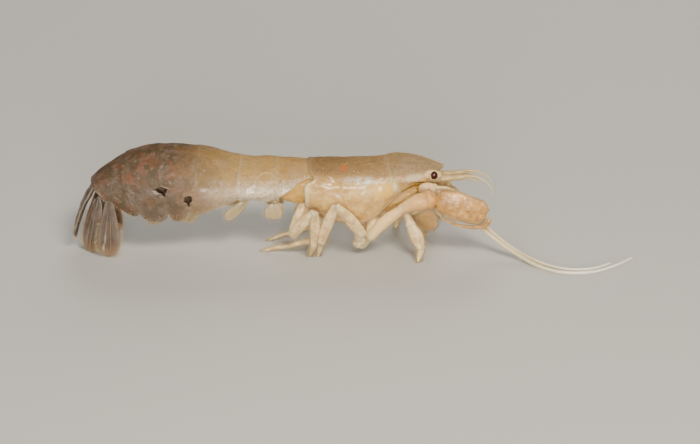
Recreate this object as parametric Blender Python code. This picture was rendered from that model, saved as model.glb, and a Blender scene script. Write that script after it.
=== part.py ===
"""Mud shrimp, a still life-size model of a small burrowing shrimp.

The animal faces +X, its right side is towards -Y, and it stands on z = 0.
The script works in millimetres from the animal's midline and turns them into metres
when a mesh is made. At the end the outline is centred over the origin.
Every limb lists its joints for the right side, with y counted outwards.
"""
import math

import bmesh
import bpy
import numpy as np
from mathutils import Matrix, Vector

MM = 0.001              # metres in one millimetre
GAP = 0.3               # parting between two neighbouring pieces
SHELL_POINTS = 24       # points round the carapace
SHIELD_STATIONS = 18    # sections along the carapace and head
LIMB_POINTS = 6         # points round a leg
ARM_POINTS = 8          # points round the arm of a claw
FEELER_POINTS = 5       # points round a feeler
TOE_SINK = 0.12         # how far a tip would reach under the floor before it is cut flat

# ---------------------------------------------------------------- trunk sizes
# Carapace and head, read along x: half width, crest height and keel height.
SHIELD_X = (-8.1, -5.5, -2.0, 1.5, 4.6, 6.8, 9.0, 11.0, 12.6, 13.5)
SHIELD_HALF = (3.7, 4.5, 4.95, 5.0, 4.35, 3.65, 2.8, 1.95, 1.0, 0.35)
SHIELD_CREST = (15.0, 15.0, 14.95, 15.1, 15.5, 15.75, 15.5, 14.95, 14.35, 14.0)
SHIELD_KEEL = (7.3, 5.6, 4.35, 4.5, 7.0, 9.5, 11.2, 11.9, 12.8, 13.35)
SHIELD_WAIST = 0.5      # height share at which the shield is widest
NECK_X = 5.0            # where the cervical groove crosses the crest
NECK_LEAN = 24.0        # degrees by which the groove runs forwards going down

# Abdomen, read along its axis from the carapace to the tail fan. The borders between
# the six segments lie at the key stations, and the last station bends the axis down.
ABDOMEN_X = (-8.6, -12.6, -18.2, -24.6, -30.0, -35.0, -39.8, -42.2)
ABDOMEN_Z = (11.7, 11.9, 12.2, 12.5, 12.3, 11.5, 9.7, 4.8)
ABDOMEN_HALF = (3.5, 3.9, 4.5, 5.2, 5.4, 4.9, 3.1, 2.2)
ABDOMEN_RISE = (3.2, 3.2, 3.2, 4.4, 4.95, 4.5, 2.7, 1.2)
ABDOMEN_DROP = (3.3, 2.6, 2.8, 5.2, 6.0, 4.9, 1.8, 1.0)
ABDOMEN_BELLY = (2.6, 2.1, 2.2, 2.7, 3.1, 2.9, 1.5, 0.8)
SEGMENT_LENGTH = 6.0    # mean length of a segment, for the parting between two of them
LOBE_CUT = 0.15         # share by which a side lobe is shorter at its two ends
RIM = 0.7               # thickness of a side lobe at its lower edge

# ---------------------------------------------------------------- limb tables
# One row for each article of a limb: the joint at its far end, then the half
# width near the body, in the middle and at the far end.
WALKING_LEGS = {
    "leg_2": ((0.7, 2.0, 5.6), 0.62, [
        ((0.6, 3.3, 1.7), (0.75, 1.00, 1.10)),
        ((7.3, 3.0, 8.1), (0.95, 0.85, 0.45)),
        ((8.6, 3.9, 5.4), (0.32, 0.55, 0.80)),
        ((10.2, 5.2, 1.9), (0.75, 1.05, 0.60)),
        ((9.7, 6.0, -TOE_SINK), (0.50, 0.42, 0.25))]),
    "leg_3": ((-1.7, 2.5, 5.6), 0.70, [
        ((1.0, 5.4, 4.5), (0.75, 0.80, 0.70)),
        ((-3.2, 6.4, 9.9), (0.75, 0.95, 0.62)),
        ((-5.5, 5.8, 3.2), (0.62, 0.90, 0.56)),
        ((-6.0, 3.9, -TOE_SINK), (0.50, 0.42, 0.25))]),
    "leg_4": ((-8.0, 2.0, 8.2), 0.72, [
        ((-10.0, 4.4, 3.8), (0.90, 1.00, 0.78)),
        ((-6.5, 6.0, 8.6), (0.76, 0.92, 0.60)),
        ((-6.7, 5.3, 2.4), (0.60, 0.82, 0.50)),
        ((-7.3, 3.9, -TOE_SINK), (0.45, 0.40, 0.25))]),
    "leg_5": ((-5.4, 1.3, 7.0), 0.78, [
        ((-6.5, 3.2, 2.4), (0.60, 0.60, 0.45)),
        ((-10.6, 2.6, 1.2), (0.45, 0.48, 0.36)),
        ((-14.9, 2.0, -TOE_SINK), (0.36, 0.34, 0.25))]),
}
LEFT_LEG_2 = [          # the left second leg stands back, behind the lowered left claw
    ((1.5, 2.6, 1.5), (0.75, 0.80, 0.70)),
    ((6.6, 3.1, 7.5), (0.70, 0.78, 0.45)),
    ((6.4, 4.9, 5.2), (0.32, 0.55, 0.80)),
    ((6.7, 6.1, 1.9), (0.75, 1.05, 0.60)),
    ((6.3, 6.7, -TOE_SINK), (0.50, 0.42, 0.25))]
FAR_SIDE_SHIFT = 0.9    # the other left legs stand this much further forwards

ARM_FLATNESS = 0.85
ARMS = {
    "right": ((3.0, 2.2, 6.0), [
        ((2.1, 4.0, 3.4), (0.80, 0.95, 0.80)),
        ((7.4, 4.8, 8.8), (0.80, 1.00, 0.75)),
        ((12.0, 4.7, 10.4), (0.85, 1.42, 1.55))]),
    "left": ((3.0, 2.2, 6.0), [
        ((2.1, 4.0, 3.4), (0.80, 0.95, 0.80)),
        ((7.0, 5.0, 8.4), (0.80, 1.00, 0.75)),
        ((9.5, 3.9, 9.3), (0.80, 1.15, 1.20))]),
}
PALM_LENGTH = 8.4
PALM_HALF_HEIGHT = 2.2
PALM_HALF_THICKNESS = 1.4
# Palm: where it starts, its pitch below the horizontal, its turn about its own length.
PALMS = {"right": ((12.4, 4.8, 10.2), 17.5, 0.0), "left": ((9.5, 3.4, 9.36), 76.0, 24.0)}
# Palm sections: share of its length, then shares of its half height and half thickness.
PALM_SECTIONS = [(0.0, 0.50, 0.55), (0.06, 0.66, 0.78), (0.22, 0.88, 0.95), (0.42, 1.0, 1.0),
                 (0.62, 0.99, 0.95), (0.80, 0.92, 0.84), (0.93, 0.74, 0.62), (1.0, 0.46, 0.36)]
# Fixed finger at the palm's lower end: share of the palm's length and depth below its axis.
FIXED_FINGER = ((0.74, 1.0), (0.98, 1.55), (0.6, 0.45, 0.28))
# Movable finger, folded back under the palm: way past the palm's end and depth below its axis.
FOLDED_FINGER = [(0.7, 0.2), (0.5, 1.7), (-1.6, 2.75), (-4.2, 3.05), (-6.6, 2.7)]
FOLDED_HALF = (0.36, 0.27)

EYE = ((12.2, 2.0, 13.2), (0.66, 0.6, 0.7))
EYESTALK = ((10.0, 1.5, 12.9), [((13.3, 1.65, 13.1), (0.70, 0.80, 0.50))])
ANTENNULE = ((10.8, 0.65, 11.9), [
    ((13.2, 0.70, 12.1), (0.44, 0.48, 0.44)),
    ((15.2, 0.80, 12.35), (0.42, 0.46, 0.40)),
    ((17.3, 0.92, 12.5), (0.40, 0.44, 0.34))])
ANTENNULE_LASH = [(17.2, 0.98, 12.6), (18.8, 1.10, 12.5), (20.3, 1.30, 11.75),
                  (21.3, 1.45, 10.5), (21.4, 1.55, 9.6)]
ANTENNULE_INNER_LASH = [(17.2, 0.95, 12.45), (18.4, 0.90, 11.9), (19.4, 0.85, 10.9)]
ANTENNULE_LASH_HALF = (0.30, 0.25)
PEDUNCLES = {
    "right": ((10.2, 2.2, 11.0), [
        ((12.6, 2.35, 10.8), (0.90, 1.05, 0.90)),
        ((14.8, 2.25, 9.9), (0.80, 0.92, 0.75)),
        ((16.5, 2.05, 8.5), (0.66, 0.72, 0.55))]),
    "left": ((10.2, 2.2, 11.0), [
        ((12.6, 2.35, 10.7), (0.90, 1.05, 0.90)),
        ((14.7, 2.1, 9.3), (0.80, 0.92, 0.75)),
        ((16.4, 1.6, 7.6), (0.66, 0.72, 0.55))]),
}
ANTENNA_SCALE = ((12.4, 2.9, 11.4), [((15.4, 3.05, 11.0), (0.30, 0.42, 0.26))])
# Lashes of the two long feelers, both swept to the right; y here is plain y.
LASH_THICK = 0.36
LASH_THIN = 0.26
LASHES = {
    "right": [(16.6, -2.05, 8.4), (19.5, -3.0, 4.9), (22.7, -4.2, 2.4), (25.8, -5.6, 0.75),
              (28.6, -7.8, 0.25), (32.2, -9.9, 0.2), (36.8, -10.5, 0.18), (40.6, -8.6, 0.17),
              (43.7, -5.1, 0.16)],
    "left": [(16.5, 1.6, 7.4), (18.4, -0.4, 5.9), (20.6, -2.3, 4.4), (23.2, -3.6, 2.6),
             (26.2, -4.9, 0.85), (29.2, -6.3, 0.25), (33.0, -7.9, 0.2), (37.0, -8.5, 0.18),
             (41.0, -7.0, 0.16)],
}
LASH_SPLIT = 0.42       # share of a lash at which it is parted in two lengths
LASH_PARTING = 0.009    # share of a lash left open between them

MAXILLIPED = ((4.0, 0.95, 6.0), [
    ((8.6, 1.05, 6.2), (0.60, 0.72, 0.60)),
    ((12.2, 1.15, 8.0), (0.55, 0.62, 0.50)),
    ((13.4, 1.05, 5.4), (0.45, 0.50, 0.28))])
MOUTH_X = (4.2, 6.6, 9.2, 11.0)
MOUTH_Z = (7.6, 8.6, 9.9, 10.6)
MOUTH_HALF = (2.1, 2.0, 1.3, 0.75)
MOUTH_DEPTH = (1.5, 1.6, 1.3, 0.7)

# Swimming legs: root, tip and greatest half width.
PLEOPODS = {
    "pleopod_2": ((-12.7, 2.0, 9.3), (-12.9, 2.5, 5.9), 1.35),
    "pleopod_3": ((-16.4, 2.2, 9.6), (-20.4, 2.7, 6.0), 0.85),
    "pleopod_4": ((-24.6, 2.3, 9.3), (-26.8, 2.8, 5.6), 1.30),
    "pleopod_5": ((-30.2, 2.3, 8.3), (-32.2, 2.7, 5.3), 1.20),
}
BLADE_HALF_THICKNESS = 0.28
TELSON_HALF_THICKNESS = 0.35

TELSON_PATH = [(-41.1, 9.6), (-42.9, 6.9), (-44.0, 4.2), (-44.6, 1.9)]
TELSON_HALF = (1.9, 2.4, 2.4, 1.3)
UROPOD_BASE = ((-39.1, 2.3, 8.6), [((-38.9, 3.3, 7.1), (0.70, 0.90, 0.70))])
# Blades of the tail fan: root, tip, half widths along the blade, and the way it faces.
UROPOD_OUTER = ((-38.9, 3.7, 7.8), (-38.9, 4.2, -TOE_SINK), (0.75, 1.45, 1.75, 1.45), (0.0, 1.0, 0.0))
UROPOD_INNER = ((-41.0, 2.1, 7.5), (-42.0, 2.3, -TOE_SINK), (0.55, 1.35, 1.70, 1.05), (-0.6, 1.0, 0.0))

# Colour and roughness of the groups of pieces.
FINISHES = {
    "shell": ((0.62, 0.50, 0.38), 0.30),
    "limb": ((0.80, 0.70, 0.56), 0.32),
    "claw": ((0.78, 0.58, 0.44), 0.32),
    "feeler": ((0.85, 0.82, 0.70), 0.35),
    "fin": ((0.58, 0.48, 0.40), 0.34),
    "eye": ((0.09, 0.02, 0.02), 0.12),
}


# ---------------------------------------------------------------- small tools
def flow(keys, values, at):
    """A smooth curve through the key values, read at any places in between."""
    keys, values = np.asarray(keys, float), np.asarray(values, float)
    if keys[0] > keys[-1]:
        keys, values = keys[::-1], values[::-1]
    slopes = np.gradient(values, keys)
    at = np.clip(np.asarray(at, float), keys[0], keys[-1])
    low = np.clip(np.searchsorted(keys, at, side="right") - 1, 0, len(keys) - 2)
    width = keys[low + 1] - keys[low]
    u = (at - keys[low]) / width
    return ((2 * u**3 - 3 * u**2 + 1) * values[low] + (u**3 - 2 * u**2 + u) * width * slopes[low]
            + (3 * u**2 - 2 * u**3) * values[low + 1] + (u**3 - u**2) * width * slopes[low + 1])


def smooth_path(points, share):
    """Places on a smooth curve through the given points, at shares 0 to 1 of its length."""
    points = np.asarray(points, float)
    steps = np.linalg.norm(np.diff(points, axis=0), axis=1)
    along = np.concatenate([[0.0], np.cumsum(steps)])
    return np.stack([flow(along, points[:, k], share * along[-1]) for k in range(points.shape[1])], axis=1)


def mirrored(point, side):
    """A right-side place, y outwards, put on the side that is asked for."""
    return np.array([point[0], point[1] * (-1.0 if side == "right" else 1.0), point[2]])


def loft_mesh(rings):
    """A closed bmesh skinned over rings of points, with a flat cap at each end."""
    bm = bmesh.new()
    loops = [[bm.verts.new(Vector(point) * MM) for point in ring] for ring in rings]
    for first, second in zip(loops, loops[1:]):
        for k in range(len(first)):
            n = (k + 1) % len(first)
            bm.faces.new((first[k], first[n], second[n], second[k]))
    bm.faces.new(loops[0][::-1])
    bm.faces.new(loops[-1])
    bmesh.ops.recalc_face_normals(bm, faces=bm.faces)
    return bm


def trim(bm, place, outward):
    """Cuts a closed bmesh with a plane, drops the outward side and closes the cut."""
    parts = bm.verts[:] + bm.edges[:] + bm.faces[:]
    cut = bmesh.ops.bisect_plane(bm, geom=parts, plane_co=Vector(place) * MM,
                                 plane_no=Vector(outward), clear_outer=True)
    rim = [item for item in cut["geom_cut"] if isinstance(item, bmesh.types.BMEdge)]
    if rim:
        bmesh.ops.holes_fill(bm, edges=rim)
        bmesh.ops.recalc_face_normals(bm, faces=bm.faces)
    return bm


def new_object(name, bm, finish):
    """A named object with its own material; bm is used up."""
    mesh = bpy.data.meshes.new(name)
    bm.to_mesh(mesh)
    bm.free()
    mesh.shade_smooth()
    mesh.set_sharp_from_angle(angle=math.radians(50))
    colour, roughness = FINISHES[finish]
    material = bpy.data.materials.new(name)
    material.use_nodes = True
    shader = material.node_tree.nodes["Principled BSDF"]
    shader.inputs["Base Color"].default_value = (*colour, 1.0)
    shader.inputs["Roughness"].default_value = roughness
    shader.inputs["Metallic"].default_value = 0.0
    mesh.materials.append(material)
    piece = bpy.data.objects.new(name, mesh)
    bpy.context.scene.collection.objects.link(piece)
    return piece


def combine(base, others, operation):
    """Puts the exact union or difference into base; the others are removed."""
    for other in others:
        step = base.modifiers.new("join", "BOOLEAN")
        step.operation = operation
        step.solver = "EXACT"
        step.object = other
    view = bpy.context.evaluated_depsgraph_get()
    result = bpy.data.meshes.new_from_object(base.evaluated_get(view))
    base.modifiers.clear()
    base.data = result
    return base


def grown(piece, gap=GAP):
    """A hidden cutter: the piece swollen along its normals, so a cut leaves the gap."""
    cutter = bpy.data.objects.new("cutter", piece.data.copy())
    bpy.context.scene.collection.objects.link(cutter)
    mesh = cutter.data
    places = [vert.co + vert.normal * gap * MM for vert in mesh.vertices]
    for vert, place in zip(mesh.vertices, places):
        vert.co = place
    cutter.hide_render = True
    cutter.display_type = "WIRE"
    return cutter


def clear_of(piece, *neighbours):
    """Cuts a piece back so that it stays a gap away from its neighbours."""
    cutters = [grown(neighbour) for neighbour in neighbours]
    combine(piece, cutters, "DIFFERENCE")
    remove(cutters)
    return piece


def remove(pieces):
    for piece in pieces:
        bpy.data.objects.remove(piece)


def unite(name, meshes, finish):
    """One closed piece made of several overlapping closed meshes."""
    pieces = [new_object(f"{name}_{k}" if k else name, bm, finish) for k, bm in enumerate(meshes)]
    combine(pieces[0], pieces[1:], "UNION")
    remove(pieces[1:])
    return pieces[0]


def stand_flat(piece):
    """Cuts a foot or a fin flat at the floor."""
    bm = bmesh.new()
    bm.from_mesh(piece.data)
    trim(bm, (0, 0, 0), (0, 0, -1))
    bm.to_mesh(piece.data)
    bm.free()


# ---------------------------------------------------------------- shapes
def cross_ring(centre, axis, half_wide, half_thick, count, flat=(0.0, 1.0, 0.0)):
    """An oval ring square to the axis; its thin way lies as near to flat as it can."""
    axis = axis / np.linalg.norm(axis)
    thin = np.asarray(flat) - np.dot(flat, axis) * axis
    thin = thin / np.linalg.norm(thin)
    wide = np.cross(thin, axis)
    turn = np.linspace(0.0, 2 * math.pi, count, endpoint=False)[:, None]
    return centre + half_wide * np.cos(turn) * wide + half_thick * np.sin(turn) * thin


def article(start, end, halves, flatness, count=LIMB_POINTS):
    """One stiff length of a limb: a rounded spindle between two joints."""
    start, end = np.asarray(start, float), np.asarray(end, float)
    axis = end - start
    reach = 0.35 * min(halves[0], halves[2]) / np.linalg.norm(axis)
    stations = np.array([-reach, 0.08, 0.5, 0.92, 1.0 + reach])
    swell = np.array([0.55, 1.0, 1.0, 1.0, 0.5])
    halves = flow((0.0, 0.5, 1.0), halves, stations) * swell
    rings = [cross_ring(start + u * axis, axis, h, h * flatness, count)
             for u, h in zip(stations, halves)]
    return loft_mesh(rings)


def chain(start, rows, side, flatness, shift=0.0, count=LIMB_POINTS):
    """The articles of a jointed limb, each reaching into the next."""
    here = mirrored(start, side) + (shift, 0, 0)
    meshes = []
    for joint, halves in rows:
        there = mirrored(joint, side) + (shift, 0, 0)
        meshes.append(article(here, there, halves, flatness, count))
        here = there
    return meshes


def lash(points, thick, thin, count, first=0.0, last=1.0):
    """A tapering feeler along a smooth path, or the stretch of it that is asked for."""
    share = np.linspace(first, last, count)
    path = smooth_path(points, share)
    heading = np.gradient(path, axis=0)
    halves = thick + (thin - thick) * share
    return loft_mesh([cross_ring(p, d, h, h, FEELER_POINTS) for p, d, h in zip(path, heading, halves)])


def flat_ring(centre, wide, thin, half, thickness):
    """Section of a leaf: a flat oval with blunt edges."""
    turn = np.linspace(0.0, 2 * math.pi, 10, endpoint=False)
    across = np.sign(np.cos(turn)) * np.abs(np.cos(turn)) ** 0.8
    return centre + half * across[:, None] * wide + thickness * np.sin(turn)[:, None] * thin


def blade(start, end, halves, facing, stations):
    """A thin leaf from start to end; facing is square to its flat side."""
    start, end = np.asarray(start, float), np.asarray(end, float)
    axis = (end - start) / np.linalg.norm(end - start)
    thin = np.asarray(facing, float)
    thin = thin - axis * thin.dot(axis)
    thin = thin / np.linalg.norm(thin)
    wide = np.cross(thin, axis)
    shares = np.linspace(0.0, 1.0, len(halves))
    return loft_mesh([flat_ring(start + (end - start) * u, wide, thin, flow(shares, halves, u),
                                BLADE_HALF_THICKNESS) for u in np.linspace(0.0, 1.0, stations)])


def shield_ring(x):
    """Section of carapace and head at x: domed above, drawn in below."""
    half = flow(SHIELD_X, SHIELD_HALF, x)
    crest = flow(SHIELD_X, SHIELD_CREST, x)
    keel = flow(SHIELD_X, SHIELD_KEEL, x)
    waist = keel + SHIELD_WAIST * (crest - keel)
    turn = np.linspace(0.0, 2 * math.pi, SHELL_POINTS, endpoint=False)
    side, height = np.cos(turn), np.sin(turn)
    y = half * np.sign(side) * np.abs(side) ** 0.88
    z = waist + np.where(height > 0, (crest - waist) * height, (waist - keel) * height)
    return np.stack([np.full_like(y, x), y, z], axis=1)


def shield_mesh():
    """The whole shield from its rear edge to the beak."""
    stations = np.linspace(SHIELD_X[0], SHIELD_X[-1], SHIELD_STATIONS)
    return loft_mesh([shield_ring(x) for x in stations])


def abdomen_axis(share):
    """Place and heading of the abdomen's axis; share counts segments, 0 to 6."""
    keys = np.arange(len(ABDOMEN_X))
    place = np.array([flow(keys, ABDOMEN_X, share), 0.0, flow(keys, ABDOMEN_Z, share)])
    step = 0.02
    ahead = np.array([flow(keys, ABDOMEN_X, share + step), 0.0, flow(keys, ABDOMEN_Z, share + step)])
    behind = np.array([flow(keys, ABDOMEN_X, share - step), 0.0, flow(keys, ABDOMEN_Z, share - step)])
    heading = (ahead - behind) / np.linalg.norm(ahead - behind)
    return place, heading


def segment_ring(share, lobe):
    """Horseshoe section of the abdomen: an arched back, two side lobes, a flat belly."""
    keys = np.arange(len(ABDOMEN_X))
    half, rise, drop, belly = (flow(keys, row, share) for row in
                               (ABDOMEN_HALF, ABDOMEN_RISE, ABDOMEN_DROP, ABDOMEN_BELLY))
    drop = belly + 0.25 + (drop - belly - 0.25) * lobe
    arch = np.linspace(0.0, math.pi, 13)
    back = np.stack([half * np.cos(arch), rise * np.sin(arch) ** 0.92], axis=1)
    down = np.array([0.4, 0.75, 1.0])
    flank = np.stack([-half * (1 - 0.13 * down**2), -drop * down], axis=1)
    rim = -half * 0.87 + RIM
    inside = np.array([[rim, -drop + 0.1], [rim + 0.1, -belly - 0.1], [rim * 0.5, -belly]])
    left = np.concatenate([flank, inside])
    ring = np.concatenate([back, left, [[0.0, -belly - 0.1]], left[::-1] * (-1, 1)])
    place, heading = abdomen_axis(share)
    up = np.array([heading[2], 0.0, -heading[0]])
    return place + ring[:, :1] * np.array([0.0, 1.0, 0.0]) + ring[:, 1:] * up


# ---------------------------------------------------------------- the animal
def make_shield():
    """Carapace and head, parted along the cervical groove, and a cutter for both."""
    lean = math.radians(NECK_LEAN)
    crest = float(flow(SHIELD_X, SHIELD_CREST, NECK_X))
    forward = np.array([math.cos(lean), 0.0, math.sin(lean)])
    place = np.array([NECK_X, 0.0, crest])
    new_object("carapace", trim(shield_mesh(), place - forward * GAP / 2, forward), "shell")
    new_object("head", trim(shield_mesh(), place + forward * GAP / 2, -forward), "shell")
    whole = new_object("shield_guide", shield_mesh(), "shell")
    whole.hide_render = True
    whole.display_type = "WIRE"
    return whole


def make_abdomen():
    """Six segments, each a short horseshoe loft between two borders; gives back the last."""
    inset = 0.5 * GAP / SEGMENT_LENGTH
    for number in range(1, 7):
        shares = np.linspace(number - 1 + inset, number - inset, 5)
        lobes = 1.0 - LOBE_CUT * np.abs(np.linspace(-1.0, 1.0, 5)) ** 2.5
        rings = [segment_ring(share, lobe) for share, lobe in zip(shares, lobes)]
        segment = new_object(f"abdomen_{number}", loft_mesh(rings), "shell")
    return segment


def make_mouth(shield):
    """The mouthparts as one wedge under the head."""
    rings = [cross_ring(np.array([x, 0.0, flow(MOUTH_X, MOUTH_Z, x)]), np.array([1.0, 0.0, 0.3]),
                        flow(MOUTH_X, MOUTH_DEPTH, x), flow(MOUTH_X, MOUTH_HALF, x), 12)
             for x in np.linspace(MOUTH_X[0], MOUTH_X[-1], 6)]
    return clear_of(new_object("mouthparts", loft_mesh(rings), "limb"), shield)


def make_eye(side, shield):
    """A dark ball set into the side of a pale stalk."""
    bm = bmesh.new()
    bmesh.ops.create_icosphere(bm, subdivisions=2, radius=1.0)
    centre = mirrored(EYE[0], side)
    for vert in bm.verts:
        vert.co = Vector((centre + np.array(vert.co) * EYE[1]) * MM)
    eye = new_object(f"eye_{side}", bm, "eye")
    stalk = unite(f"eyestalk_{side}", chain(*EYESTALK, side, 1.0), "limb")
    return clear_of(stalk, eye, shield)


def make_antennule(side, *neighbours):
    """The short upper feeler: three stout articles and two fine lashes."""
    lashes = [lash([mirrored(p, side) for p in points], *ANTENNULE_LASH_HALF, 7)
              for points in (ANTENNULE_LASH, ANTENNULE_INNER_LASH)]
    piece = unite(f"antennule_{side}", chain(*ANTENNULE, side, 1.0) + lashes, "feeler")
    return clear_of(piece, *neighbours)


def make_antenna(side, *neighbours):
    """The long lower feeler: a stout base with its scale, and a lash in two lengths."""
    articles = chain(*PEDUNCLES[side], side, 0.9) + chain(*ANTENNA_SCALE, side, 0.7)
    base = clear_of(unite(f"antenna_{side}_base", articles, "limb"), *neighbours)
    for name, first, last, count in ((f"antenna_{side}_lash", 0.0, LASH_SPLIT, 12),
                                     (f"antenna_{side}_tip", LASH_SPLIT + LASH_PARTING, 1.0, 16)):
        length = lash(LASHES[side], LASH_THICK, LASH_THIN, count, first, last)
        stand_flat(clear_of(new_object(name, length, "feeler"), base))


def make_claw(side, shield):
    """The big first leg: arm, palm with its fixed finger, and folded movable finger."""
    start, pitch, turn = PALMS[side]
    start, pitch, turn = mirrored(start, side), math.radians(pitch), math.radians(turn)
    ahead = np.array([math.cos(pitch), 0.0, -math.sin(pitch)])
    flat = np.array([math.sin(turn), math.cos(turn), 0.0])
    below = np.cross(flat, ahead)
    below = below / np.linalg.norm(below)
    rings = [cross_ring(start + ahead * PALM_LENGTH * u, ahead, h * PALM_HALF_HEIGHT,
                        w * PALM_HALF_THICKNESS, 12, flat) for u, h, w in PALM_SECTIONS]
    root, tip = (start + ahead * u * PALM_LENGTH + below * depth for u, depth in FIXED_FINGER[:2])
    fixed = article(root, tip, FIXED_FINGER[2], 0.9)
    palm = unite(f"claw_{side}_palm", [loft_mesh(rings), fixed], "claw")
    route = [start + ahead * (PALM_LENGTH + past) + below * depth for past, depth in FOLDED_FINGER]
    finger = new_object(f"claw_{side}_finger", lash(route, *FOLDED_HALF, 11), "claw")
    clear_of(finger, palm)
    arm = unite(f"claw_{side}_arm", chain(*ARMS[side], side, ARM_FLATNESS, count=ARM_POINTS), "claw")
    return clear_of(arm, shield, palm)


def make_legs(side, shield, arm):
    """The four pairs of walking legs."""
    for name, (root, flatness, rows) in WALKING_LEGS.items():
        shift = 0.0 if side == "right" or name == "leg_2" else FAR_SIDE_SHIFT
        if side == "left" and name == "leg_2":
            rows = LEFT_LEG_2
        leg = unite(f"{name}_{side}", chain(root, rows, side, flatness, shift), "limb")
        neighbours = (shield, arm) if name == "leg_2" else (shield,)
        stand_flat(clear_of(leg, *neighbours))


def make_maxilliped(side, *neighbours):
    """The leg-like outer mouthpart."""
    clear_of(unite(f"maxilliped_{side}", chain(*MAXILLIPED, side, 0.8), "limb"), *neighbours)


def make_pleopods(side):
    """Leaf-shaped swimming legs under the abdomen."""
    for name, (root, tip, half) in PLEOPODS.items():
        halves = (0.45 * half, 0.95 * half, 0.98 * half, 0.45 * half)
        leaf = blade(mirrored(root, side), mirrored(tip, side), halves, (0, 1, 0), 5)
        new_object(f"{name}_{side}", leaf, "fin")


def make_uropods(side, last_segment):
    """One half of the tail fan: an outer blade on its base, and an inner blade."""
    root, tip, halves, facing = UROPOD_OUTER
    outer = blade(mirrored(root, side), mirrored(tip, side), halves, mirrored(facing, side), 7)
    outer = unite(f"uropod_{side}_outer", chain(*UROPOD_BASE, side, 0.8) + [outer], "fin")
    stand_flat(clear_of(outer, last_segment))
    root, tip, halves, facing = UROPOD_INNER
    inner = blade(mirrored(root, side), mirrored(tip, side), halves, mirrored(facing, side), 7)
    stand_flat(new_object(f"uropod_{side}_inner", inner, "fin"))


def make_telson(last_segment):
    """The middle plate of the fan, bent a little along its length."""
    share = np.linspace(0.0, 1.0, 7)
    path = smooth_path(TELSON_PATH, share)
    heading = np.gradient(path, axis=0)
    halves = flow(np.linspace(0.0, 1.0, 4), TELSON_HALF, share)
    rings = []
    for (x, z), (dx, dz), half in zip(path, heading, halves):
        back = np.array([dz, 0.0, -dx]) / math.hypot(dx, dz)
        rings.append(flat_ring(np.array([x, 0.0, z]), np.array([0.0, 1.0, 0.0]), back, half,
                              TELSON_HALF_THICKNESS))
    clear_of(new_object("telson", loft_mesh(rings), "fin"), last_segment)


def centre_over_origin():
    """Moves the whole animal level, so that its outline is centred over the origin."""
    pieces = [piece for piece in bpy.data.objects if not piece.hide_render]
    places = np.array([vert.co for piece in pieces for vert in piece.data.vertices])
    middle = (places.min(axis=0) + places.max(axis=0)) / 2
    for piece in pieces:
        piece.data.transform(Matrix.Translation((-middle[0], -middle[1], 0.0)))


def main():
    remove(list(bpy.data.objects))
    shield = make_shield()
    last_segment = make_abdomen()
    mouth = make_mouth(shield)
    for side in ("right", "left"):
        stalk = make_eye(side, shield)
        antennule = make_antennule(side, shield, stalk)
        make_antenna(side, shield, stalk, antennule)
        arm = make_claw(side, shield)
        make_legs(side, shield, arm)
        make_maxilliped(side, shield, mouth)
        make_pleopods(side)
        make_uropods(side, last_segment)
    make_telson(last_segment)
    centre_over_origin()


main()
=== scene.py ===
"""Looks of a mud shrimp: its shells, limbs, feelers, fins and bristles.

Every shape is worked out in millimetres in the animal's own frame, where y = 0 is the
midline, +X is towards the head and z = 0 is the floor, and is moved into the part's frame
when its mesh is made.
"""
import math

import bpy
import numpy as np
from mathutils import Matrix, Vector


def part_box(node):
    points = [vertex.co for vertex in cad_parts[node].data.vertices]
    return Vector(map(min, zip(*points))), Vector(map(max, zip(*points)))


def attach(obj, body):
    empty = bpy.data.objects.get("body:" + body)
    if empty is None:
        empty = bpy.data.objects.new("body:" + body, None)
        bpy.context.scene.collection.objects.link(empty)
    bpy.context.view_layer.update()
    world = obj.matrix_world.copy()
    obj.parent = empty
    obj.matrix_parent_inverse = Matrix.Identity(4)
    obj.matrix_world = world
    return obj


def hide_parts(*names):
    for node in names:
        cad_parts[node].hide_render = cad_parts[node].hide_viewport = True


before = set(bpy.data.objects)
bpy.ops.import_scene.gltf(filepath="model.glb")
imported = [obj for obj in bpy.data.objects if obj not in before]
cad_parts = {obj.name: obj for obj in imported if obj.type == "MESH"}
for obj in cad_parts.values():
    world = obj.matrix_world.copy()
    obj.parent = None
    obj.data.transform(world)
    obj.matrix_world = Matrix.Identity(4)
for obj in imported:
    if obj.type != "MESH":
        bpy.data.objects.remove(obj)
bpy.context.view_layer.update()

MM = 0.001
SIDES = ("right", "left")

# ---------------------------------------------------------------- trunk sizes, in mm
# Carapace and head, read along x: half width, crest height and keel height.
SHIELD_X = (-8.1, -5.5, -2.0, 1.5, 4.6, 6.8, 9.0, 11.0, 12.6, 13.5)
SHIELD_HALF = (3.7, 4.5, 4.95, 5.0, 4.35, 3.65, 2.8, 1.95, 1.0, 0.35)
SHIELD_CREST = (15.0, 15.0, 14.95, 15.1, 15.5, 15.75, 15.5, 14.95, 14.35, 14.0)
SHIELD_KEEL = (7.3, 5.6, 4.35, 4.5, 7.0, 9.5, 11.2, 11.9, 12.8, 13.35)
NECK_X = 5.0                # where the cervical groove crosses the crest
NECK_LEAN = math.tan(math.radians(24.0))
HEM = -0.80                 # angle below the waist at which the carapace ends, in radians
SHELL, RING_SHELL = 0.26, 0.22          # thickness of the plates in front and on the abdomen
BLADE, MIDDLE_BLADE, SWIMMER_LEAF = 0.20, 0.28, 0.14        # and of the fins
ACROSS = np.array([0.0, 1.0, 0.0])
SIDE_LINE_X = (-8.1, -2.5, 3.8, 8.0, 11.7)
SIDE_LINE_Z = (13.2, 12.6, 13.5, 13.4, 12.6)

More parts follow.
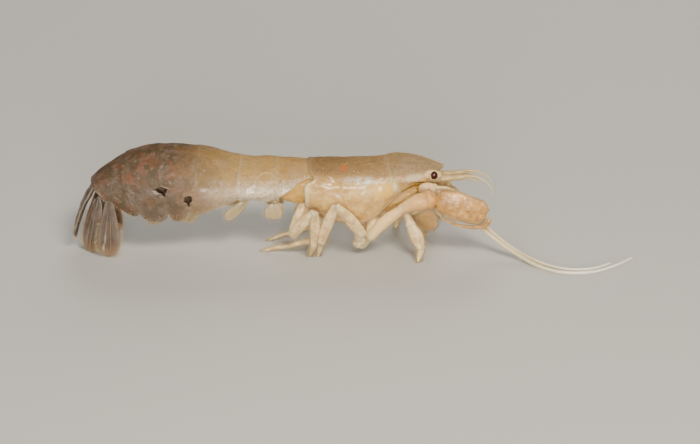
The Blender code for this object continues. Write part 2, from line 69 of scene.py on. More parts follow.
# Abdomen, read along its axis towards the tail fan. Its six segments part at the stations
# 0 to 6; station -1 is hidden in the carapace and station 7 only bends the axis down.
ABDOMEN_AT = (-1, 0, 1, 2, 3, 4, 5, 6, 7)
ABDOMEN_X = (-4.6, -8.6, -12.6, -18.2, -24.6, -30.0, -35.0, -39.8, -42.2)
ABDOMEN_Z = (11.5, 11.7, 11.9, 12.2, 12.5, 12.3, 11.5, 9.7, 4.8)
ABDOMEN_HALF = (3.4, 3.5, 3.9, 4.5, 5.2, 5.4, 4.9, 3.1, 2.2)
ABDOMEN_RISE = (2.6, 3.2, 3.2, 3.2, 4.4, 4.95, 4.5, 2.7, 1.2)
ABDOMEN_DROP = (3.6, 3.3, 2.6, 2.8, 5.2, 6.0, 4.9, 1.8, 1.0)
ABDOMEN_BELLY = (2.9, 2.6, 2.1, 2.2, 2.7, 3.1, 2.9, 1.5, 0.8)
FLANK = 0.6                 # share of the half round from back to lobe tip at which flanks start
# Borders between the segments, in segments: how far each one lies further back at the foot
# of the flank, and how far it bows back at the flank's top.
BORDER_LEAN = (0.0, 0.0, 0.06, 0.30, -0.03, 0.0, 0.0)
BORDER_BOW = (0.0, 0.0, 0.04, 0.08, 0.12, 0.14, 0.0)
# Raised arched rim on the second segment, painted pale, partly as its own rim colour and
# partly as a painted highlight: x, z and reaches. Open notches between two side
# lobes: border, depth down, half size, width.
LOBE_ARC = (-14.0, 12.6, 1.7, 1.5)
NOTCHES = ((3, 0.50, 0.20, 0.19), (4, 0.12, 0.16, 0.22), (5, 0.10, 0.10, 0.07))

# ---------------------------------------------------------------- limb tables, in mm
# One row for each article: the joint at its far end, then its half width near the body,
# in the middle and at the far end. They give the right side, with y counted outwards.
WALKING_LEGS = {
    "leg_2": ((0.7, 2.0, 5.6), 0.62, [
        ((0.6, 3.3, 1.7), (0.75, 1.00, 1.10)),
        ((7.3, 3.0, 8.1), (0.95, 0.85, 0.45)),
        ((8.6, 3.9, 5.4), (0.32, 0.55, 0.80)),
        ((10.2, 5.2, 1.9), (0.75, 1.05, 0.60)),
        ((9.7, 6.0, 0.0), (0.50, 0.42, 0.16))]),
    "leg_3": ((-1.7, 2.5, 5.6), 0.70, [
        ((1.0, 5.4, 4.5), (0.75, 0.80, 0.70)),
        ((-3.2, 6.4, 9.9), (0.75, 0.95, 0.62)),
        ((-5.5, 5.8, 3.2), (0.62, 0.90, 0.56)),
        ((-6.0, 3.9, 0.0), (0.50, 0.42, 0.16))]),
    "leg_4": ((-8.0, 2.0, 8.2), 0.72, [
        ((-10.0, 4.4, 3.8), (0.90, 1.00, 0.78)),
        ((-6.5, 6.0, 8.6), (0.76, 0.92, 0.60)),
        ((-6.7, 5.3, 2.4), (0.60, 0.82, 0.50)),
        ((-7.3, 3.9, 0.0), (0.45, 0.40, 0.16))]),
    "leg_5": ((-5.4, 1.3, 7.0), 0.78, [
        ((-6.5, 3.2, 2.4), (0.60, 0.60, 0.45)),
        ((-10.6, 2.6, 1.2), (0.45, 0.48, 0.36)),
        ((-14.9, 2.0, 0.0), (0.36, 0.32, 0.14))]),
}
LEFT_LEG_2 = [
    ((1.5, 2.6, 1.5), (0.75, 0.80, 0.70)),
    ((6.6, 3.1, 7.5), (0.70, 0.78, 0.45)),
    ((6.4, 4.9, 5.2), (0.32, 0.55, 0.80)),
    ((6.7, 6.1, 1.9), (0.75, 1.05, 0.60)),
    ((6.3, 6.7, 0.0), (0.50, 0.42, 0.16))]
FAR_SIDE_SHIFT = 0.9        # the other left legs stand this much further forwards

ARMS = {
    "right": ((3.0, 2.2, 6.0), [
        ((2.1, 4.0, 3.4), (0.80, 0.95, 0.80)),
        ((7.4, 4.8, 8.8), (0.80, 1.00, 0.75)),
        ((12.0, 4.7, 10.4), (0.85, 1.42, 1.55))]),
    "left": ((3.0, 2.2, 6.0), [
        ((2.1, 4.0, 3.4), (0.80, 0.95, 0.80)),
        ((7.0, 5.0, 8.4), (0.80, 1.00, 0.75)),
        ((9.5, 3.9, 9.3), (0.80, 1.15, 1.20))]),
}
ARM_FLATNESS = 0.85
PALM_LENGTH, PALM_HALF_HEIGHT, PALM_HALF_THICKNESS = 8.4, 2.2, 1.4
# Palm: where it starts, its pitch below the horizontal, its turn about its own length.
PALMS = {"right": ((12.4, 4.8, 10.2), 17.5, 0.0), "left": ((9.5, 3.4, 9.36), 76.0, 24.0)}
PALM_SHARE = (0.0, 0.06, 0.22, 0.42, 0.62, 0.80, 0.93, 1.0)
PALM_HEIGHTS = (0.42, 0.66, 0.88, 1.0, 0.99, 0.92, 0.74, 0.36)
PALM_WIDTHS = (0.45, 0.78, 0.95, 1.0, 0.95, 0.84, 0.62, 0.30)
FIXED_FINGER = ((0.74, 1.0), (0.98, 1.55), (0.6, 0.45, 0.16))
FOLDED_FINGER = ((0.7, 0.2), (0.5, 1.7), (-1.6, 2.75), (-4.2, 3.05), (-6.6, 2.7))

EYE = ((12.2, 2.0, 13.2), 0.64)
EYESTALK = ((10.0, 1.5, 12.9), (13.48, 1.66, 13.11), (0.70, 0.80, 0.50))
ANTENNULE = ((10.8, 0.65, 11.9), [
    ((13.2, 0.72, 12.0), (0.62, 0.66, 0.54)),
    ((15.3, 0.82, 12.15), (0.52, 0.57, 0.45)),
    ((17.2, 0.92, 12.4), (0.43, 0.46, 0.30))])
ANTENNULE_LASHES = (
    ((17.0, 0.98, 12.6), (18.8, 1.10, 12.5), (20.3, 1.30, 11.75), (21.3, 1.45, 10.5),
     (21.4, 1.55, 9.6)),
    ((17.0, 0.95, 12.4), (18.4, 0.90, 11.9), (19.4, 0.85, 10.9)))
PEDUNCLES = {
    "right": ((10.2, 2.2, 11.0), [
        ((12.6, 2.35, 10.8), (0.90, 1.05, 0.90)),
        ((14.8, 2.25, 9.9), (0.80, 0.92, 0.75)),
        ((16.5, 2.05, 8.5), (0.66, 0.72, 0.55))]),
    "left": ((10.2, 2.2, 11.0), [
        ((12.6, 2.35, 10.7), (0.90, 1.05, 0.90)),
        ((14.7, 2.1, 9.3), (0.80, 0.92, 0.75)),
        ((16.4, 1.6, 7.6), (0.66, 0.72, 0.55))]),
}
ANTENNA_SCALE = ((12.4, 2.9, 11.4), [((15.4, 3.05, 11.0), (0.30, 0.42, 0.16))])
# Lashes of the two long feelers, both swept to the right; y here is plain y.
LASHES = {
    "right": ((16.2, -2.1, 8.8), (19.5, -3.0, 4.9), (22.7, -4.2, 2.5), (25.8, -5.7, 0.90),
              (28.7, -8.2, 0.34), (32.2, -10.2, 0.30), (36.6, -10.1, 0.27), (40.5, -7.7, 0.25),
              (43.6, -4.6, 0.23)),
    "left": ((16.1, 1.7, 7.9), (18.4, -0.4, 5.9), (20.6, -2.3, 4.3), (23.2, -3.7, 2.5),
             (26.1, -5.0, 0.95), (29.2, -7.1, 0.34), (33.0, -9.1, 0.30), (36.8, -8.9, 0.27),
             (40.0, -6.8, 0.25)),
}
LASH_THICK, LASH_THIN, LASH_RINGS = 0.40, 0.21, 120

MAXILLIPED = ((4.0, 0.95, 6.0), [
    ((8.6, 1.05, 6.2), (0.60, 0.72, 0.60)),
    ((12.2, 1.15, 8.0), (0.55, 0.62, 0.50)),
    ((13.4, 1.05, 5.4), (0.45, 0.50, 0.20))])
MOUTH_X = (4.2, 6.6, 9.2, 11.0)
MOUTH_Z = (7.6, 8.6, 9.9, 10.6)
MOUTH_HALF = (2.1, 2.0, 1.3, 0.75)
MOUTH_DEPTH = (1.5, 1.6, 1.3, 0.7)
PLEOPODS = {
    "pleopod_2": ((-12.7, 2.0, 9.3), (-12.9, 2.5, 5.9), 1.35),
    "pleopod_3": ((-16.4, 2.2, 9.6), (-20.4, 2.7, 6.0), 0.85),
    "pleopod_4": ((-24.6, 2.3, 9.3), (-26.8, 2.8, 5.6), 1.30),
    "pleopod_5": ((-30.2, 2.3, 8.3), (-32.2, 2.7, 5.3), 1.20),
}
TELSON_PATH = ((-40.8, 11.1), (-42.0, 9.3), (-43.1, 6.9), (-44.0, 4.2), (-44.6, 1.9))
TELSON_HALF = (1.45, 2.15, 2.45, 2.4, 1.9)
UROPOD_BASES = {
    "outer": ((-39.1, 2.3, 8.8), [((-38.8, 3.1, 7.5), (0.55, 0.55, 0.45))]),
    "inner": ((-39.9, 1.7, 9.2), [((-40.8, 1.8, 7.4), (0.50, 0.50, 0.42))]),
}
UROPODS = {
    "outer": ((-38.6, 3.2, 9.9), (-38.9, 4.2, 0.27), (0.50, 1.18, 1.72, 1.78), (0.0, 1.0, 0.0)),
    "inner": ((-40.4, 2.1, 9.6), (-42.0, 2.3, 0.27), (0.55, 1.28, 1.75, 1.60), (-0.6, 1.0, 0.0)),
}
# Ribs of each blade: where across it they run out to, and how high they stand.
FAN_RIBS = {"outer": ((-0.20, 0.20), (0.42, 0.12)), "inner": ((0.0, 0.18), (0.55, 0.10))}

# ---------------------------------------------------------------- room, in metres
FLOOR_REACH = 4.0
LAMPS_AIM = np.array([0.0, 0.0, 0.006])
# Lamps: place, size, power, colour and whether shiny surfaces mirror them.
LAMPS = {
    "key": ((0.10, -0.262, 0.328), (0.16, 0.11), 1.9, (1.0, 0.88, 0.70), True),
    "glint": ((-0.02, -0.48, 0.12), (0.22, 0.14), 2.3, (1.0, 0.92, 0.79), True),
    "fill": ((-0.34, -0.26, 0.22), (0.40, 0.40), 0.3, (0.96, 0.97, 1.0), True),
    "rim": ((0.05, 0.38, 0.26), (0.30, 0.30), 1.5, (1.0, 0.93, 0.82), False),
}
CAMERA_AIM = (-0.95, 0.0, 4.18)         # in mm, in the animal's own frame
CAMERA_AWAY, CAMERA_RISE = 0.614, math.radians(25.0)

# The solids give the place of the animal's own frame: the rear edge of the carapace in x,
# and its middle in y.
low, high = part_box("carapace")
SHIFT = np.array([low.x / MM - SHIELD_X[0], (low.y + high.y) / 2 / MM, 0.0])


# ---------------------------------------------------------------- curves and patterns
def flow(keys, values, at):
    """Cubic Hermite curve through the values: between two keys, with u from 0 to 1, the
    ends weigh 2u^3-3u^2+1 and 3u^2-2u^3, and their mean slopes u^3-2u^2+u and u^3-u^2."""
    keys, values, at = (np.asarray(row, float) for row in (keys, values, at))
    slopes = np.gradient(values, keys, axis=0)
    at = np.clip(at, keys[0], keys[-1])
    k = np.clip(np.searchsorted(keys, at, side="right") - 1, 0, len(keys) - 2)
    width = keys[k + 1] - keys[k]
    u = (at - keys[k]) / width
    if values.ndim > 1:
        u, width = u[..., None], width[..., None]
    return ((2 * u**3 - 3 * u**2 + 1) * values[k] + (u**3 - 2 * u**2 + u) * width * slopes[k]
            + (3 * u**2 - 2 * u**3) * values[k + 1] + (u**3 - u**2) * width * slopes[k + 1])


def route(points, share):
    """Places on a smooth curve through the points, at shares 0 to 1 of the way."""
    points = np.asarray(points, float)
    way = np.append(0.0, np.cumsum(np.linalg.norm(np.diff(points, axis=0), axis=1)))
    return flow(way / way[-1], points, share)


def ease(low_end, high_end, x):
    """0 below the low end, 1 above the high end, 3t^2-2t^3 between."""
    t = np.clip((x - low_end) / (high_end - low_end), 0.0, 1.0)
    return t * t * (3.0 - 2.0 * t)


def crease(x, middle, width):
    """A bell of height 1 at the middle: exp(-((x - middle) / width)^2)."""
    return np.exp(-((x - middle) / width) ** 2)


def dense_ends(count):
    """Shares from 0 to 1 that crowd at both ends: (1 - cos(pi k)) / 2."""
    return 0.5 - 0.5 * np.cos(np.pi * np.linspace(0.0, 1.0, count))


def turns(count):
    """The angles of a closed ring of points."""
    return 2.0 * np.pi * np.arange(count) / count


def unit(vectors):
    return vectors / np.linalg.norm(vectors, axis=-1, keepdims=True)


def scramble(cells):
    """A number from 0 to 1 for each whole-numbered lattice cell, always the same one."""
    mixed = cells[..., 0] * 73856093 ^ cells[..., 1] * 19349663 ^ cells[..., 2] * 83492791
    mixed = (mixed ^ (mixed >> 13)) * 1274126177
    return ((mixed ^ (mixed >> 16)) & 0xFFFF) / 65535.0


def grain(points, size, seed=0):
    """Smooth noise from -1 to 1: a random number at every corner of a lattice of the given
    size, blended by 3u^2-2u^3 along each axis."""
    cell = points / size + 31.7 * seed
    base = np.floor(cell).astype(np.int64)
    u = cell - base
    u = u * u * (3.0 - 2.0 * u)
    total = 0.0
    for corner in np.ndindex(2, 2, 2):
        total = total + np.prod(np.where(corner, u, 1.0 - u), axis=-1) * scramble(base + corner)
    return 2.0 * total - 1.0


def rough(points, *layers):
    """Layers of grain added up, each given by its strength, size and seed."""
    return sum(strength * grain(points, *layer) for strength, *layer in layers)


def beads(points, size):
    """Round bumps from 0 to 1 on a loose lattice: 1 - (distance / reach)^2 from the nearest
    of the randomly placed middles, never below 0."""
    cell = points / size
    base = np.floor(cell).astype(np.int64)
    nearest = np.full(points.shape[:-1], 9.0)
    for step in np.ndindex(3, 3, 3):
        near = base + step - 1
        off = np.stack([scramble(near + k) for k in (7, 13, 29)], axis=-1) - 0.5
        middle = near + 0.5 + 0.6 * off
        nearest = np.minimum(nearest, np.sum((cell - middle) ** 2, axis=-1))
    return np.clip(1.0 - nearest / 0.16, 0.0, 1.0)


def mirrored(point, side):
    """A right-side place, y outwards, put on the side that is asked for."""
    return np.asarray(point, float) * (1.0, -1.0 if side == "right" else 1.0, 1.0)


# ---------------------------------------------------------------- surfaces
# A shape is (points, faces, marks): faces is a list of index arrays, and marks holds two
# numbers for each point, how far along its piece it lies and how near to an edge.
def normals(grid, closed):
    """Outward unit normals of a grid: the way across a row times the way along the rows."""
    if closed:
        around = np.roll(grid, -1, axis=1) - np.roll(grid, 1, axis=1)
    else:
        around = np.gradient(grid, axis=1)
    return unit(np.cross(around, np.gradient(grid, axis=0)) + 1e-9)


def raised(grid, height, closed):
    """The grid moved out along its normals by a height at each point."""
    return grid + normals(grid, closed) * np.asarray(height)[..., None]


def ring_faces(rows, count):
    """Quads between neighbouring closed rings."""
    i, j = np.meshgrid(np.arange(rows - 1) * count, np.arange(count), indexing="ij")
    k = (j + 1) % count
    return np.stack([i + j, i + k, i + count + k, i + count + j], axis=-1).reshape(-1, 4)


def skin(rings, edge=0.0):
    """A closed skin over rings, each end drawn together at the middle of its last ring."""
    rows, count = rings.shape[:2]
    poles = np.stack([rings[0].mean(axis=0), rings[-1].mean(axis=0)])
    points = np.concatenate([rings.reshape(-1, 3), poles])
    j = np.arange(count)
    k = (j + 1) % count
    pole, end = np.full(count, rows * count), (rows - 1) * count
    caps = np.concatenate([np.stack([pole, k, j], axis=-1),
                           np.stack([pole + 1, end + j, end + k], axis=-1)])
    along = np.repeat(np.linspace(0.0, 1.0, rows), count)
    marks = np.stack([along, np.broadcast_to(edge, (rows, count)).ravel()], axis=-1)
    return points, [ring_faces(rows, count), caps], np.concatenate([marks, [[0, 0], [1, 0]]])


def edge_distance(grid):
    """Distance of each grid point from the nearest of the four edges, along rows and columns."""
    found = []
    for lines in (grid, grid.swapaxes(0, 1)):
        way = np.cumsum(np.linalg.norm(np.diff(lines, axis=0), axis=-1), axis=0)
        way = np.pad(way, ((1, 0), (0, 0)))
        found.append(np.minimum(way, way[-1] - way))
    return np.minimum(found[0], found[1].T)


def plate(outer, thickness, lines=0.0):
    """A thin closed plate: the outer face, an inner face set in along the normals, and a
    rounded rim, where the thickness falls off as a quarter circle. Lines, from 0 to 1 on the
    grid, are marked as the rim is."""
    reach = edge_distance(outer)
    near = np.clip(reach / thickness, 0.0, 1.0)
    depth = thickness * (0.2 + 0.8 * np.sqrt(1.0 - (1.0 - near) ** 2))
    way = normals(outer, closed=False)
    face = outer - way * ((thickness - depth) * 0.5)[..., None]
    rings = np.concatenate([face, (face - way * depth[..., None])[:, ::-1]], axis=1)
    rows, double = rings.shape[:2]
    j = np.arange(outer.shape[1] - 1)
    strip = np.stack([j, j + 1, double - 2 - j, double - 1 - j], axis=-1)
    faces = [ring_faces(rows, double), strip[:, ::-1], strip + (rows - 1) * double]
    along = np.repeat(np.linspace(0.0, 1.0, rows), double)
    rim = np.maximum(np.exp(-reach / (2.0 * thickness)), lines)
    rim = np.concatenate([rim, rim[:, ::-1]], axis=1).ravel()
    return rings.reshape(-1, 3), faces, np.stack([along, rim], axis=-1)


def tube(path, wide_half, thin_half, count, flat=ACROSS, lens=0.0):
    """Rings square to a path: middle + wide half * cos t * wide + thin half * sin t * thin,
    where the thin way lies as near to flat as it can; lens thins the two edges further."""
    heading = unit(np.gradient(path, axis=0))
    flat = np.asarray(flat, float)
    thin = unit(flat - (heading @ flat)[:, None] * heading)
    wide = np.cross(thin, heading)
    turn = turns(count)
    sine = np.sin(turn) * np.abs(np.sin(turn)) ** lens
    return (path[:, None] + (wide_half[:, None] * np.cos(turn))[..., None] * wide[:, None]
            + (thin_half[:, None] * sine)[..., None] * thin[:, None])


def article(start, end, halves, flatness, count=32, rows=44, tip=False):
    """Rings for one length of a limb. Its half width flows through three values and is drawn
    in as a quarter circle at both ends, a low collar stands before the far joint, its middle
    bows up by 0.035 of its length, and the section is a lens, sin t * |sin t|^0.25 thick."""
    length = np.linalg.norm(end - start)
    axis = (end - start) / length
    reach_in, reach_out = 0.45 * halves[0], (0.0 if tip else 0.45 * halves[2])
    way = -reach_in + (length + reach_in + reach_out) * dense_ends(rows)
    half = flow((0.0, 0.5, 1.0), halves, way / length)
    near = np.clip((way + reach_in) / (0.9 * halves[0]), 0.0, 1.0)
    far = np.clip((length + reach_out - way) / (0.8 * halves[2]), 0.0, 1.0)
    half = half * (0.12 + 0.88 * np.sqrt(1 - (1 - near) ** 2))
    half = half * (0.10 + 0.90 * np.sqrt(1 - (1 - far) ** 2))
    if not tip:
        half = half * (1.0 + 0.10 * crease(way, length - 0.30 * halves[2], 0.22 * halves[2])
                       - 0.07 * crease(way, length - 0.85 * halves[2], 0.3 * halves[2]))
    above = np.array([0.3, 0.0, 1.0])
    above = unit(above - axis * above.dot(axis))
    bow = 0.035 * length * np.sin(np.pi * np.clip(way / length, 0.0, 1.0))
    path = start + way[:, None] * axis + bow[:, None] * above
    rings = tube(path, half, half * flatness, count, lens=0.25)
    lumps = rough(rings, (0.035, 1.1), (0.02, 0.45, 2))
    return raised(rings, lumps * np.clip(half, 0.0, 0.5)[:, None] * 2.0, closed=True)


def chain(start, rows, side, flatness, shift=0.0, pointed=True):
    """The articles of a jointed limb, each reaching into the next, as a list of rings."""
    joints = [mirrored(joint, side) + (shift, 0.0, 0.0) for joint in (start, *(row[0] for row in rows))]
    return [article(joints[k], joints[k + 1], halves, flatness, tip=pointed and k == len(rows) - 1)
            for k, (_, halves) in enumerate(rows)]


def skins(lengths):
    """A closed skin over each list of rings, its two thin edges marked."""
    return [skin(rings, np.abs(np.cos(turns(rings.shape[1]))) ** 3) for rings in lengths]


def spine(root, heading, length, half):
    """A short bent cone that leans over by a fifth of its length."""
    share = np.linspace(0.0, 1.0, 9)[:, None]
    heading = unit(np.asarray(heading, float))
    bend = np.cross(heading, np.cross(heading, (0.9, 0.1, 0.2)))
    path = root + heading * length * (share - 0.2) - bend * 0.2 * length * share**2
    width = half * np.sqrt(1.02 - share[:, 0] ** 1.5)
    return skin(tube(path, width, width, 8))


class Coat:
    """Hairs that grow out of several skins. Each skin has its own square in the texture, in
    which its rows run one way and its columns the other."""

    def __init__(self, seed):
        self.shapes, self.random = [], np.random.default_rng(seed)

    def grow(self, grid, rows, columns, count, length, lean, closed=True, half=0.022):
        """Hairs at random places within the given shares of the rows and columns, each along
        the normal plus lean times the way of the rows."""
        u = self.random.uniform(*rows, count)
        v = self.random.uniform(*columns, count) % 1.0
        i, j = (np.rint(way * (size - 1)).astype(int) for way, size in zip((u, v), grid.shape))
        along, out = unit(np.gradient(grid, axis=0) + 1e-9)[i, j], normals(grid, closed)[i, j]
        heading = out + lean * along + self.random.normal(0.0, 0.16, (count, 3))
        self.add(grid[i, j] - 0.02 * out, heading, length, half, 0.15, np.stack([v, u], axis=-1))

    def fringe(self, grid, start, count, length):
        """Hairs along both side edges of a leaf beyond the start share; near its tip they
        turn to point on along it."""
        rows, middle = len(grid), grid.mean(axis=1)
        line = np.concatenate([grid[:, 0], grid[::-1, -1]])
        share = np.concatenate([np.linspace(0, 1, rows), np.linspace(1, 0, rows)])
        pick = self.random.integers(0, len(line), count)
        pick = pick[share[pick] > start]
        outward = unit(line[pick] - middle[np.rint(share[pick] * (rows - 1)).astype(int)])
        reach = ease(0.80, 1.0, share[pick])[:, None]
        heading = outward * (1.0 - 0.75 * reach) + unit(middle[-1] - middle[0]) * (0.35 + 1.2 * reach)
        self.comb(line, pick, heading, length)

    def end_fringe(self, grid, count, length):
        """Hairs along the last row of a leaf, away from the middle of a row before it."""
        pick = self.random.integers(0, len(grid[-1]), count)
        self.comb(grid[-1], pick, unit(grid[-1][pick] - grid[-8].mean(axis=0)), length)

    def comb(self, line, pick, heading, length):
        """Fine hairs at the picked places of a line, a little uneven in their heading."""
        heading = heading + self.random.normal(0.0, 0.07, heading.shape)
        place = np.stack([pick / len(line), np.full(len(pick), 0.5)], axis=-1)
        self.add(line[pick], heading, length, 0.02, 0.10, place)

    def add(self, roots, heading, length, half, droop, place):
        """Hairs of uneven length: each is a three-sided spike through five places on a bent
        line, root + u * length * heading + u^2 * length * sag, with half width falling as
        1 - u. place is each hair's own place in the texture square of its skin."""
        count, steps = len(roots), np.linspace(0.0, 1.0, 5)
        length = (length * self.random.uniform(0.55, 1.15, count))[:, None, None]
        sag = np.array([0.0, 0.0, -droop]) + self.random.normal(0.0, 0.06, (count, 3))
        heading = unit(heading)
        first = unit(np.cross(heading, (0.31, 0.17, 0.93)))
        turn, u = turns(3)[:, None], steps[:, None]
        spokes = np.cos(turn) * first[:, None] + np.sin(turn) * np.cross(heading, first)[:, None]
        line = roots[:, None] + length * (u * heading[:, None] + u * u * sag[:, None])
        points = line[:, :, None] + (half * (1.05 - steps))[:, None, None] * spokes[:, None]
        points[..., 2] = np.maximum(points[..., 2], 0.02)
        offset = 15 * np.arange(count)[:, None, None]
        quads = (ring_faces(5, 3) + offset).reshape(-1, 4)
        ends = (np.array([[0, 2, 1], [12, 13, 14]]) + offset).reshape(-1, 3)
        marks = np.stack([np.tile(np.repeat(steps, 3), count), np.zeros(15 * count)], axis=-1)
        row, column = divmod(len(self.shapes), 16)
        patch = np.repeat((np.array([column, row]) + 0.05 + 0.9 * place) / 16.0, 15, axis=0)
        angle = np.tile(turns(15), count)
        patch = patch + 0.0015 * np.stack([np.cos(angle), np.sin(angle)], axis=-1)
        self.shapes.append((points.reshape(-1, 3), [quads, ends], marks, patch))


def make_piece(name, shapes, material, slot, *nodes):
    """A mesh object from shapes, in metres in the part's frame, riding on the model."""
    points, marks = (np.concatenate([shape[k] for shape in shapes]) for k in (0, 2))
    start = np.cumsum([0] + [len(shape[0]) for shape in shapes[:-1]])
    faces = [face + base for base, shape in zip(start, shapes) for face in shape[1]]
    points[:, 2] = np.maximum(points[:, 2], 0.0)
    mesh = bpy.data.meshes.new(name)
    corners = np.concatenate([face.ravel() for face in faces]).astype(np.int32)
    sizes = np.concatenate([np.full(len(face), face.shape[1]) for face in faces])
    mesh.vertices.add(len(points))
    mesh.vertices.foreach_set("co", ((points + SHIFT) * MM).ravel())
    mesh.loops.add(len(corners))
    mesh.loops.foreach_set("vertex_index", corners)
    mesh.polygons.add(len(sizes))
    mesh.polygons.foreach_set("loop_start", (np.cumsum(sizes) - sizes).astype(np.int32))
    mesh.update(calc_edges=True)
    mesh.validate()
    for column, label in enumerate(("along", "edge")):
        mesh.attributes.new(label, "FLOAT", "POINT").data.foreach_set("value", marks[:, column])
    if len(shapes[0]) > 3:
        patches = np.concatenate([shape[3] for shape in shapes])
        mesh.uv_layers.new(name="OFBake").data.foreach_set("uv", patches[corners].ravel())
    mesh.shade_smooth()
    mesh.materials.append(material)
    piece = bpy.data.objects.new(name, mesh)
    bpy.context.scene.collection.objects.link(piece)
    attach(piece, "root")
    if nodes:
        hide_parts(*nodes)


# ---------------------------------------------------------------- materials
class Field:
    """A number in a material's nodes; arithmetic on it adds Math nodes."""

    def __init__(self, paint, socket):
        self.paint, self.socket = paint, socket

    def math(self, operation, *values, clamp=False):
        settings = {"operation": operation, "use_clamp": clamp}
        return self.paint.node("ShaderNodeMath", settings, dict(enumerate(values)))

    def __add__(self, other):
        return self.math("ADD", self, other)

    def __radd__(self, other):
        return self.math("ADD", other, self)

    def __sub__(self, other):
        return self.math("SUBTRACT", self, other)

    def __rsub__(self, other):
        return self.math("SUBTRACT", other, self)

    def __mul__(self, other):
        return self.math("MULTIPLY", self, other)

    def __rmul__(self, other):
        return self.math("MULTIPLY", other, self)

    def clamped(self):
        return self.math("ADD", self, 0.0, clamp=True)

    def between(self, low_end, high_end):
        """0 at the low end and 1 at the high end, eased."""
        return self.paint.node("ShaderNodeMapRange", {"interpolation_type": "SMOOTHSTEP"},
                               {0: self, 1: low_end, 2: high_end, 3: 0.0, 4: 1.0})


class Paint:
    """A material in the making: place is the position in mm in the animal's own frame, and
    colour is what has been painted so far."""

    def __init__(self, name, **uniform):
        self.material = bpy.data.materials.new(name)
        self.material.use_nodes = True
        self.tree = self.material.node_tree
        self.shader = self.tree.nodes["Principled BSDF"]
        for socket, value in uniform.items():
            self.shader.inputs[socket.replace("_", " ")].default_value = value
        coordinates = self.node("ShaderNodeTexCoord", output="Object")
        self.place = self.node("ShaderNodeVectorMath", {"operation": "MULTIPLY_ADD"},
                               {0: coordinates, 1: (1 / MM,) * 3, 2: tuple(-SHIFT)})

    def node(self, kind, settings=None, sockets=None, output=0):
        """Adds a node: its settings first, then a value or a link for each socket."""
        node = self.tree.nodes.new(kind)
        for key, value in (settings or {}).items():
            setattr(node, key, value)
        for key, value in (sockets or {}).items():
            if isinstance(value, Field):
                self.tree.links.new(value.socket, node.inputs[key])
            else:
                node.inputs[key].default_value = value
        return Field(self, node.outputs[output])

    def axis(self, letter):
        """x, y or z of the place, in mm."""
        return self.node("ShaderNodeSeparateXYZ", None, {0: self.place}, output=letter)

    def mark(self, label):
        """A number stored with the mesh: along or edge."""
        return self.node("ShaderNodeAttribute", {"attribute_name": label}, output="Fac")

    def noise(self, size, detail=3.0, roughness=0.55, stretch=(1.0, 1.0, 1.0)):
        """Noise from 0 to 1 whose grains are about size mm across."""
        spread = self.node("ShaderNodeVectorMath", {"operation": "MULTIPLY"},
                           {0: self.place, 1: tuple(1.0 / s for s in stretch)})
        return self.node("ShaderNodeTexNoise", None, {"Vector": spread, "Scale": 1.0 / size,
                                                      "Detail": detail, "Roughness": roughness})

    def cells(self, size):
        """Distance to the nearest of random middles about size mm apart."""
        return self.node("ShaderNodeTexVoronoi", None, {"Vector": self.place, "Scale": 1.0 / size})

    def flecks(self, size, rare=0.64):
        """Small ragged flecks of uneven size; the nearer rare is to 1, the fewer there are."""
        return self.noise(size, 2.0, 0.65).between(rare, rare + 0.07)

    def spot(self, centre, radii, soft=0.5):
        """1 inside an egg-shaped spot, easing to 0 at its border."""
        away = self.node("ShaderNodeVectorMath", {"operation": "SUBTRACT"}, {0: self.place, 1: centre})
        scaled = self.node("ShaderNodeVectorMath", {"operation": "DIVIDE"}, {0: away, 1: radii})
        distance = self.node("ShaderNodeVectorMath", {"operation": "LENGTH"}, {0: scaled}, output="Value")
        return distance.between(1.0, 1.0 - soft)

    def mix(self, share, first, second):
        """One colour turning into another as the share goes from 0 to 1."""
        sockets = {0: share}
        for key, colour in ((6, first), (7, second)):
            sockets[key] = colour if isinstance(colour, Field) else (*colour, 1.0)
        return self.node("ShaderNodeMix", {"data_type": "RGBA"}, sockets, output=2)

    def lay(self, share, colour):
        """Another colour over what is there, as strongly as the share says."""
        self.colour = self.mix(share, self.colour, colour)

    def finish(self, roughness, height=None, relief=0.1, alpha=None, coat=None):
        """Links what varies: colour, roughness, relief in mm, how solid and how wet it is."""
        links = {"Base Color": self.colour, "Roughness": roughness, "Alpha": alpha, "Coat Weight": coat}
        if height is not None:
            links["Normal"] = self.node("ShaderNodeBump", None, {"Strength": 1.0, "Distance": relief * MM,
                                                                 "Height": height})
        for key, value in links.items():
            if isinstance(value, Field):
                self.tree.links.new(value.socket, self.shader.inputs[key])
            elif value is not None:
                self.shader.inputs[key].default_value = value
        return self.material


WET = {"Subsurface_Weight": 0.35, "Subsurface_Radius": (1.0, 0.55, 0.30), "Subsurface_Scale": 0.0014,
       "IOR": 1.42, "Specular_IOR_Level": 0.6, "Coat_Weight": 0.35, "Coat_Roughness": 0.20, "Coat_IOR": 1.6}


